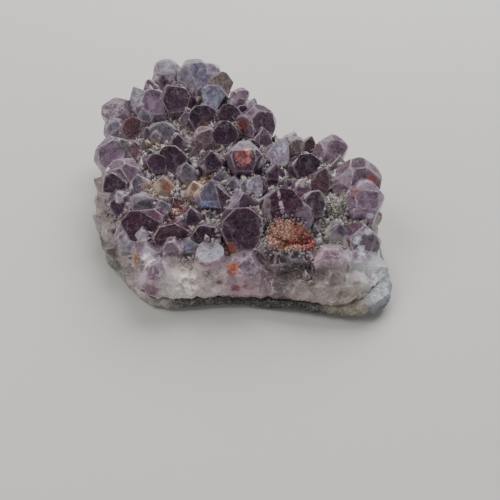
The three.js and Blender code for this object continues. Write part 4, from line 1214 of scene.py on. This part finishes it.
def face_tones(owner, plane, crystals):
    """Tones of each triangle near its crystal's tip and lower down, with painted reflections and painted
    shade of some faces among them.
    """
    near_tip, lower, sides = (np.zeros((len(crystals) + 1, FACE_COUNT, 3)) for _ in range(3))
    for table in (near_tip, lower, sides):
        table[-1] = linear(TONES["crust"])
    for number, one in enumerate(crystals):
        own = FACE_TONES_AND_PAINTED_LIGHT.get(one["name"], {})
        body_tone = BODY_TONES.get(one["name"], one["tone"])
        for face in range(FACE_COUNT):
            shade = between(FACE_SHADE, pick(one["item"], "shade", face))
            # A cap's tone is darkened as painted shade
            shade *= CAP_SHADE if face == CAP_FACE else 1
            near_tip[number, face] = linear(TONES[own.get(face, one["tone"])]) * shade
            lower[number, face] = linear(TONES[own.get(face, body_tone)]) * shade
        sides[number] = linear(TONES[own["sides"]]) if "sides" in own else np.nan
    named = plane < PLANES_OF_FACES
    face = np.where(named, plane // 2, np.where(plane == PLANES_OF_FACES, CAP_FACE, CHIP_FACE))
    side = sides[owner, face]
    on_side = (named & (plane % 2 == 0))[:, None] & np.isfinite(side)
    return np.where(on_side, side, near_tip[owner, face]), np.where(on_side, side, lower[owner, face])


def soften(corners, triangles, weight):
    """Rounds a surface off: each corner goes a part of the way to the middle of its neighbours."""
    for _ in range(SOFTENING_ROUNDS):
        even = np.stack([spread_over_edges(corners[:, i], triangles, 1) for i in range(3)], 1)
        corners = corners + (even - corners) * weight[:, None]
    return corners


def quartz_piece(stations, crystals, material):
    """The quartz as one piece. Returns what the druse needs to know of its surface."""
    corners, triangles = grown_together(stations, crystals)
    corners, triangles = split_long_edges(
        corners, triangles, lambda places: longest_edge(places, stations, QUARTZ_PITCH, LOWEST_FOOT))
    face_owner, face_plane, face_depth, _ = owners(corners[triangles].mean(1), crystals)
    corner_owner, _, _, margin = owners(corners, crystals)
    on_crust = spread_over_edges((corner_owner < 0).astype(float), triangles, 1)
    softening = np.array([SOFTENING[one["form"]] for one in crystals] + [SOFTENING["crust"]])
    weight = spread_over_edges(softening[corner_owner], triangles, 2)
    moved = soften(corners, triangles, weight)
    normals = corner_normals(moved, triangles)
    for height, more_on_crust, size, seed in QUARTZ_BUMPS:
        moved = rough_up(moved, normals, height + more_on_crust * on_crust, size, seed)
    moved = np.clip(moved, corners.min(0), corners.max(0))
    normals = corner_normals(moved, triangles)
    shut = spread_over_edges(sky_shut_out(moved, triangles, normals), triangles, 2)
    piece = new_piece("quartz_cluster", moved, triangles, material, QUARTZ_SMOOTH_BELOW)
    near_tip, lower = face_tones(face_owner, face_plane, crystals)
    axes = np.array([one["axis"] / one["width"] for one in crystals] + [(0, 0, 0)])
    tips = np.array([one["tip"] for one in crystals] + [(0, 0, 0)])
    back = smoothstep(*FRONT_BAND, corners[:, 1])
    over_crust = corners[:, 2] - crust_under(corners, stations)
    low = 1 - smoothstep(*FOOT_HEIGHT, over_crust) * back
    low -= smoothstep(*FOOT_HEIGHT_FRONT, over_crust) * (1 - back)
    wall = smoothstep(*WALL_SHARE, share_out(corners, stations)[0])
    # Spots of stain and of painted highlight and shade
    stain_and_painted_light, stain_and_painted_light_tone = stained_and_painted(corners)
    foot = colour_by_place(corners, FOOT_TONES, FOOT_TONE_ELSEWHERE, FOOT_SHARE_ELSEWHERE)
    for name, domain, colours in (
        ("tone", "FACE", near_tip), ("body", "FACE", lower),
        ("foot", "POINT", foot), ("stain_and_painted_light_tone", "POINT", stain_and_painted_light_tone),
    ):
        store_colour(piece.data, name, domain, colours)
    for name, domain, values in (
        ("ridge", "FACE", (face_owner >= 0) & (face_depth < WORN_BELOW)),
        ("below", "POINT", np.sum((tips[corner_owner] - corners) * axes[corner_owner], axis=1)),
        ("low", "POINT", np.clip(low, 0, 1)),
        ("massive", "POINT", np.maximum(1 - back, wall * np.clip(low + WALL_ABOVE_FOOT, 0, 1))),
        ("stain_and_painted_light", "POINT", stain_and_painted_light),
        ("margin", "POINT", margin),
        ("top", "POINT", LEVEL_ROUGHNESS * smoothstep(*LEVEL, normals[:, 2])),
        ("shut", "POINT", shut),
        ("crust", "POINT", on_crust),
    ):
        store(piece.data, name, "FLOAT", domain, values)
    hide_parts("amethyst_crystals")
    return {
        "corners": moved, "triangles": triangles, "normals": normals, "shut": shut, "crust": on_crust,
        "front": 1 - back, "share": share_out(moved, stations)[0],
    }


def druse_places(ground, count, covering, rng):
    """Places on the quartz, more of them where druse grows best, and the normals there."""
    corners, triangles = ground["corners"], ground["triangles"]
    wanted = smoothstep(*DRUSE_SHUT, ground["shut"]) + DRUSE_ON_CRUST * ground["crust"]
    wanted += covering * sum(near_spot(corners, *spot) for spot in OVERGROWN)
    off_front = 1 - DRUSE_OFF_FRONT * ground["front"]
    inland = 1 - smoothstep(*DRUSE_SHARE, ground["share"])
    wanted *= smoothstep(*DRUSE_HEIGHT, corners[:, 2] - LAYER_HEIGHT) * off_front
    wanted *= smoothstep(*DRUSE_SLOPE, ground["normals"][:, 2]) * inland
    first, side, other_side, across = spanned(corners, triangles)
    weight = np.linalg.norm(across, axis=1) * wanted[triangles].mean(1)
    chosen = rng.choice(len(triangles), count, p=weight / weight.sum())
    u, v = rng.random(count), rng.random(count)
    over = u + v > 1
    u[over], v[over] = 1 - u[over], 1 - v[over]
    spots = first[chosen] + side[chosen] * u[:, None] + other_side[chosen] * v[:, None]
    return spots, unit(across)[chosen]


def druse_shapes(widths, lengths, rng):
    """Corners of six-sided prisms with a tip, standing at the origin, and the faces of one."""
    count = len(widths)
    around = np.arange(6) * SIXTH_TURN
    hexagon = np.stack([np.cos(around), np.sin(around), np.zeros(6)], 1) / 2
    template = np.vstack([hexagon - (0, 0, DRUSE_BELOW), hexagon + (0, 0, DRUSE_SHOULDER), [(0, 0, 1)]])
    shape = np.repeat(template[None], count, 0)
    shape[:, :6, :2] *= DRUSE_TAPER
    shape[:, :12, :2] *= rng.uniform(*DRUSE_UNEVEN, (count, 12, 1))
    shape[:, 12, :2] = rng.uniform(-DRUSE_TIP_ASKEW, DRUSE_TIP_ASKEW, (count, 2))
    shape[:, :, :2] *= widths[:, None, None]
    shape[:, :, 2] *= lengths[:, None]
    faces = []
    for i in range(6):
        after = (i + 1) % 6
        faces += [(i, after, 6 + after), (i, 6 + after, 6 + i), (6 + i, 6 + after, 12)]
    faces += [(0, i + 1, i) for i in range(1, 5)]
    return shape, np.array(faces)


def druse_piece(name, ground, count, width_span, tone_names, foot_share, covering, seed, material):
    """Small quartz crystals grown in the hollows and on what is grown over."""
    rng = np.random.default_rng(seed)
    spots, normals = druse_places(ground, count, covering, rng)
    widths = between(width_span, rng.random(count) ** 2)
    lengths = widths * rng.uniform(*DRUSE_LENGTH, count)
    axes = unit(normals + rng.normal(0, DRUSE_STRAY, (count, 3)) + np.array([0, 0, DRUSE_UPRIGHT]))
    sides = unit(np.cross(axes, rng.normal(0, 1, (count, 3))))
    shape, faces = druse_shapes(widths, lengths, rng)
    corners = spots[:, None] + sum(
        shape[:, :, i:i + 1] * way[:, None] for i, way in enumerate((sides, np.cross(axes, sides), axes)))
    corners = corners.reshape(-1, 3).clip(ground["corners"].min(0), ground["corners"].max(0))
    triangles = (faces[None] + shape.shape[1] * np.arange(count)[:, None, None]).reshape(-1, 3)
    piece = new_piece(name, corners, triangles, material)
    tones = np.array([linear(TONES[tone]) for tone in tone_names])
    colours = tones[rng.integers(0, len(tones), count)] * rng.uniform(*DRUSE_TONE_SPAN, (count, 1))
    foot = colour_by_place(spots, FOOT_TONES, FOOT_TONE_ELSEWHERE, FOOT_SHARE_ELSEWHERE)
    colours += (foot - colours) * rng.uniform(*foot_share, (count, 1))
    stain_and_painted_light, stain_and_painted_light_tone = stained_and_painted(spots)
    # Grains at a spot take its colour, stain and painted light alike
    takes_spot = (stain_and_painted_light * rng.uniform(*DRUSE_SPOT_SPAN, count) > DRUSE_SPOTTED)[:, None]
    stain_and_painted_light_tone *= rng.uniform(*DRUSE_SPOT_TONE_SPAN, (count, 1))
    colours = np.where(takes_spot, stain_and_painted_light_tone, colours)
    store_colour(piece.data, "tone", "FACE", np.repeat(colours, len(faces), 0))


def rock_piece(stations, material):
    """The host rock: the solid of the part, roughened but for its flat foot."""
    corners, triangles = triangles_of(frame["nodes"]["matrix_rock"].data)
    corners = corners / MM + CENTRE_OF_BOX
    corners, triangles = split_long_edges(
        corners, triangles, lambda places: longest_edge(places, stations, ROCK_PITCH))
    normals = corner_normals(corners, triangles)
    free = smoothstep(*ROCK_FOOT, corners[:, 2])
    moved = corners
    for height, size, seed in ROCK_BUMPS:
        moved = rough_up(moved, normals, height * free, size, seed)
    moved = np.clip(moved, corners.min(0), corners.max(0))
    piece = new_piece("host_rock", moved, triangles, material, ROCK_SMOOTH_BELOW)
    tone = colour_by_place(corners, ROCK_TONES, ROCK_TONE_ELSEWHERE, ROCK_SHARE_ELSEWHERE)
    for x, y, reach, heights, colour in ROCK_CRUST:
        near = np.exp(-(np.hypot(corners[:, 0] - x, corners[:, 1] - y) / reach) ** 4)
        tone += (linear(colour) - tone) * (near * smoothstep(*heights, corners[:, 2]))[:, None]
    store_colour(piece.data, "tone", "POINT", tone)
    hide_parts("matrix_rock")


class Output:
    """An output of a node, which can be added to, taken from and multiplied."""

    def __init__(self, nodes, socket):
        self.nodes = nodes
        self.socket = socket

    def __add__(self, other):
        return self.nodes.calculate("ADD", self, other)

    def __sub__(self, other):
        return self.nodes.calculate("SUBTRACT", self, other)

    def __rsub__(self, other):
        return self.nodes.calculate("SUBTRACT", other, self)

    def __mul__(self, other):
        return self.nodes.calculate("MULTIPLY", self, other)

    def at_least(self, other):
        return self.nodes.calculate("MAXIMUM", self, other)


class Nodes:
    """A material's node tree, written from left to right."""

    def __init__(self, name):
        self.material = bpy.data.materials.new(name)
        self.material.use_nodes = True
        self.tree = self.material.node_tree
        self.tree.nodes.clear()
        output = self.tree.nodes.new("ShaderNodeOutputMaterial")
        self.shader = self.tree.nodes.new("ShaderNodeBsdfPrincipled")
        self.tree.links.new(self.shader.outputs[0], output.inputs["Surface"])
        self.place = self.tree.nodes.new("ShaderNodeTexCoord").outputs["Object"]

    def add(self, kind, inputs, output=0, **settings):
        """A node with its settings, its inputs by name or number, and the output to go on with."""
        node = self.tree.nodes.new(kind)
        for name, setting in settings.items():
            setattr(node, name, setting)
        for name, source in inputs.items():
            self.link(source, node.inputs[name])
        return Output(self, node.outputs[output])

    def link(self, source, socket):
        if isinstance(source, Output):
            source = source.socket
        if isinstance(source, (int, float, tuple)):
            socket.default_value = source
        else:
            self.tree.links.new(source, socket)

    def surface(self, **inputs):
        """Sets the shader's inputs, named with _ for each space."""
        for name, source in inputs.items():
            self.link(source, self.shader.inputs[name.replace("_", " ")])

    def value(self, name):
        return self.add("ShaderNodeAttribute", {}, "Fac", attribute_name=name)

    def colour(self, name):
        return self.add("ShaderNodeAttribute", {}, "Color", attribute_name=name)

    def noise(self, size, detail, roughness, distortion=0):
        """Noise whose lumps are about `size` millimetres."""
        return self.add("ShaderNodeTexNoise", {
            "Vector": self.place, "Scale": 1 / (size * MM), "Detail": detail, "Roughness": roughness,
            "Distortion": distortion}, "Fac")

    def cells(self, size, feature, output):
        """Cells about `size` millimetres across, with wavering sides."""
        waver = self.add("ShaderNodeTexNoise", {"Vector": self.place, "Scale": 1 / (size * MM)}, "Color")
        moved = self.add(
            "ShaderNodeVectorMath", {0: waver, 1: (size * MM,) * 3, 2: self.place}, operation="MULTIPLY_ADD")
        return self.add(
            "ShaderNodeTexVoronoi", {"Vector": moved, "Scale": 1 / (size * MM)}, output, feature=feature)

    def calculate(self, operation, a, b):
        return self.add("ShaderNodeMath", {0: a, 1: b}, operation=operation)

    def step(self, value, low, high, before, after):
        return self.add("ShaderNodeMapRange", {
            "Value": value, "From Min": low, "From Max": high, "To Min": before, "To Max": after,
        }, interpolation_type="SMOOTHSTEP")

    def layer(self, name, value):
        """How strong a layer is, by the value that it follows."""
        return self.step(value, *LAYERS[name])

    def mix(self, share, a, b, blend="MIX"):
        return self.add(
            "ShaderNodeMix", {"Factor": share, 6: a, 7: b}, 2, data_type="RGBA", blend_type=blend)

    def times(self, colour, multiplier):
        return self.mix(1.0, colour, multiplier, "MULTIPLY")

    def tinted(self, name, colour):
        share, tone = TINTS[name]
        return self.mix(share, colour, opaque(tone))

    def speckled(self, colour, speck, dust_and_shade):
        """A colour with finer light and dark specks, stronger where there is dust and painted shade."""
        light = self.mix(dust_and_shade * 0.42 + 0.05, colour, opaque(LIGHT_SPECK))
        dark = self.mix(dust_and_shade * 0.6 + 0.1, colour, opaque(DARK_SPECK))
        return self.mix(self.layer("specks", speck), dark, light)

    def bump(self, height, strength, distance):
        return self.add(
            "ShaderNodeBump", {"Height": height, "Strength": strength, "Distance": distance * MM})


def opaque(colour):
    return (*linear(colour), 1.0)


class Quartz(Nodes):
    """The quartz's tree: what its layers of colour follow, and the layers one by one."""

    def __init__(self):
        super().__init__("amethyst")
        self.massive, self.below, self.shut = (self.value(name) for name in ("massive", "below", "shut"))
        self.foot = self.colour("foot")
        self.clouds, self.wisps, self.coarse, self.grain = (
            self.noise(*settings) for settings in (CLOUDS, WISPS, COARSE, GRAIN))
        self.uneven, self.fine = (one * WAVER - WAVER / 2 for one in (self.coarse, self.grain))
        self.lumps = self.grain * GRAIN_IN_LUMPS + self.coarse * (1 - GRAIN_IN_LUMPS)

    def unless_massive(self, plain, massive):
        """A strength that has another value where the quartz is massive."""
        return self.step(self.massive, 0, 1, plain, massive)

    def layer(self, name, value):
        low, high, before, after, *massive = LAYERS[name]
        if massive:
            after = self.unless_massive(after, *massive)
        return self.step(value, low, high, before, after)

    def crystals(self):
        """The tones of tip and body, darker in lumps and wisps, and lighter lower down."""
        below = self.below + self.uneven * 0.5
        colour = self.mix(self.layer("body", below), self.colour("tone"), self.colour("body"))
        shaded = self.times(colour, SHADE)
        colour = self.mix(self.layer("lumps", self.lumps), colour, shaded)
        colour = self.mix(self.layer("wisps", self.wisps), colour, shaded)
        return self.mix(self.layer("glow", below), colour, self.times(colour, GLOW))

    def veiled(self, colour):
        """Milky veils inside, and a milky border along the edges."""
        veil = self.layer("veil", self.below * 0.12 + self.clouds * 0.7 + self.grain * 0.3)
        border = self.value("margin") + self.clouds * 3.0 + self.uneven + self.fine
        veil = veil.at_least(self.layer("veil_wisps", self.wisps)).at_least(self.layer("border", border))
        return self.mix(veil, colour, self.tinted("veil", colour))

    def on_foot(self, colour):
        """The foot's colour low down, darker blocks, and pale joints between blocks."""
        low = self.value("low") + self.uneven + self.fine + (self.clouds * 1.6 - 0.8) * self.massive
        colour = self.mix(self.layer("foot", low), colour, self.foot)
        blocks = self.layer("blocks", self.cells(BLOCK_SIZE, "F1", "Color"))
        colour = self.mix(blocks, colour, self.times(colour, BLOCK_SHADE))
        joints = self.layer("joints", self.cells(BLOCK_SIZE, "DISTANCE_TO_EDGE", "Distance"))
        joints *= self.layer("whole_joints", self.coarse)
        return self.mix(joints, colour, self.tinted("joint", self.foot))

    def dusted_and_shaded(self, colour, dust_and_shade):
        """Dust of three tones in the hollows and on the crust: pale, dark, and darkest where the sky is most
        shut out. The dark tone is partly painted shade and the darkest is painted shade.
        """
        pale = self.layer("pale_dust", self.grain)
        dust_and_hollow_shade = self.mix(pale, opaque(DARK_DUST_AND_SHADE), self.tinted("pale_dust", self.foot))
        dust_and_hollow_shade = self.mix(self.layer("deep_hollow_shade", self.shut + self.fine), dust_and_hollow_shade, opaque(HOLLOW_SHADE_TONE))
        return self.mix(dust_and_shade * 0.85, colour, dust_and_hollow_shade)

    # Stains and painted light of the spots, mottled in lumps
    def stained_and_painted(self, colour, stain_and_painted_light):
        tone = self.colour("stain_and_painted_light_tone")
        spot_colour = self.mix(self.layer("full_spot", self.lumps), self.times(tone, SPOT_SHADE), tone)
        spot_colour = self.mix(self.layer("foot_in_spot", self.grain), spot_colour, self.foot)
        return self.mix(stain_and_painted_light, colour, spot_colour)


def quartz_material():
    quartz = Quartz()
    worn = quartz.value("ridge") * quartz.layer("worn_lumps", quartz.coarse)
    worn *= quartz.layer("worn_clouds", quartz.clouds)
    # Dust where the sky is shut out, which also paints shade into the hollows
    dust_and_shade = quartz.layer("dust_and_hollow_shade", quartz.shut + quartz.uneven + quartz.fine)
    dust_and_shade = dust_and_shade.at_least(quartz.value("crust") * 0.8) * quartz.unless_massive(1.0, 0.25)
    # The spots: stains, and painted highlights and shade
    stain_and_painted_light = quartz.layer("stain_and_painted_light", quartz.value("stain_and_painted_light") + quartz.uneven + quartz.fine * 2.0)
    colour = quartz.on_foot(quartz.veiled(quartz.crystals()))
    colour = quartz.mix(worn, colour, opaque(WORN_TONE))
    colour = quartz.stained_and_painted(quartz.dusted_and_shaded(colour, dust_and_shade), stain_and_painted_light)
    specks = quartz.unless_massive(dust_and_shade * (1.0 - stain_and_painted_light), -0.1)
    colour = quartz.speckled(colour, quartz.noise(*SPECKS), specks)
    rough = quartz.step(dust_and_shade, 0, 1, quartz.step(quartz.grain, *POLISH), DUST_ROUGHNESS)
    rough = rough.at_least(quartz.value("top")).at_least(stain_and_painted_light * SPOT_ROUGHNESS)
    facets = quartz.cells(FACET_SIZE, "F1", "Distance") * quartz.unless_massive(0.1, 1.0)
    relief = quartz.grain * (dust_and_shade + 0.2) + quartz.coarse * 0.25 + facets
    quartz.surface(
        Base_Color=colour, Roughness=rough + worn * WORN_ROUGHNESS, IOR=QUARTZ_IOR,
        Transmission_Weight=(1.0 - dust_and_shade.at_least(stain_and_painted_light)) * CLEAR_SHARE,
        Normal=quartz.bump(relief, *QUARTZ_RELIEF))
    return quartz.material


def druse_material():
    nodes = Nodes("druse")
    nodes.surface(
        Base_Color=nodes.speckled(nodes.colour("tone"), nodes.noise(*DRUSE_SPECKS), 0.6),
        Roughness=DRUSE_ROUGHNESS, Transmission_Weight=DRUSE_CLEAR_SHARE, IOR=QUARTZ_IOR)
    return nodes.material


def rock_material():
    nodes = Nodes("host_rock")
    tone, lumps, grain = nodes.colour("tone"), nodes.noise(*ROCK_LUMPS), nodes.noise(*GRAIN)
    patches = nodes.layer("rock_dark", nodes.noise(*ROCK_PATCHES))
    colour = nodes.mix(patches, tone, nodes.tinted("rock", tone))
    colour = nodes.mix(nodes.layer("rock_pale", lumps), colour, opaque(ROCK_PALE))
    nodes.surface(
        Base_Color=nodes.speckled(colour, grain, 0.15), Roughness=ROCK_ROUGHNESS,
        Normal=nodes.bump(lumps * 1.5 + grain, *ROCK_RELIEF))
    return nodes.material


def area_light(name, place, size, power, colour):
    """A soft lamp that shines at the middle of the specimen's foot."""
    lamp = bpy.data.lights.new(name, "AREA")
    lamp.shape = "RECTANGLE"
    lamp.size, lamp.size_y = size
    lamp.energy = power
    lamp.color = colour
    made = bpy.data.objects.new(name, lamp)
    made.location = place
    made.rotation_euler = (-Vector(place)).to_track_quat("-Z", "Y").to_euler()
    bpy.context.scene.collection.objects.link(made)


def studio():
    floor_mesh = bpy.data.meshes.new("floor")
    corners = [(x * FLOOR_HALF, y * FLOOR_HALF, 0) for x, y in ((-1, -1), (1, -1), (1, 1), (-1, 1))]
    floor_mesh.from_pydata(corners, [], [(0, 1, 2, 3)])
    floor = bpy.data.objects.new("floor", floor_mesh)
    bpy.context.scene.collection.objects.link(floor)
    pale = Nodes("floor")
    pale.surface(Base_Color=opaque(FLOOR_TONE), Roughness=FLOOR_ROUGHNESS)
    floor_mesh.materials.append(pale.material)
    world = bpy.data.worlds.new("room")
    bpy.context.scene.world = world
    world.use_nodes = True
    background = world.node_tree.nodes["Background"]
    background.inputs["Color"].default_value = ROOM_COLOUR
    background.inputs["Strength"].default_value = ROOM_STRENGTH
    for lamp in LAMPS:
        area_light(*lamp)


def photo_camera():
    lens = bpy.data.cameras.new("camera")
    lens.sensor_width = SENSOR_WIDTH
    lens.lens = CAMERA_FOCAL_PIXELS * SENSOR_WIDTH / FRAME_PIXELS
    lens.clip_start = NEAREST_SEEN
    camera = bpy.data.objects.new("camera", lens)
    camera.location = (Vector(CAMERA_PLACE) - Vector(CENTRE_OF_BOX)) * MM
    camera.rotation_euler = (math.radians(90 - CAMERA_DOWN), 0, 0)
    bpy.context.scene.collection.objects.link(camera)
    bpy.context.scene.camera = camera


stations = rim_stations()
crystals = named_crystals() + scattered_crystals(stations) + edge_crystals(stations)
ground = quartz_piece(stations, crystals, quartz_material())
druse = druse_material()
for step, (name, count, widths, tones, foot_share, covering) in enumerate(DRUSE):
    druse_piece(name, ground, count, widths, tones, foot_share, covering, SEED + step, druse)
rock_piece(stations, rock_material())
studio()
photo_camera()
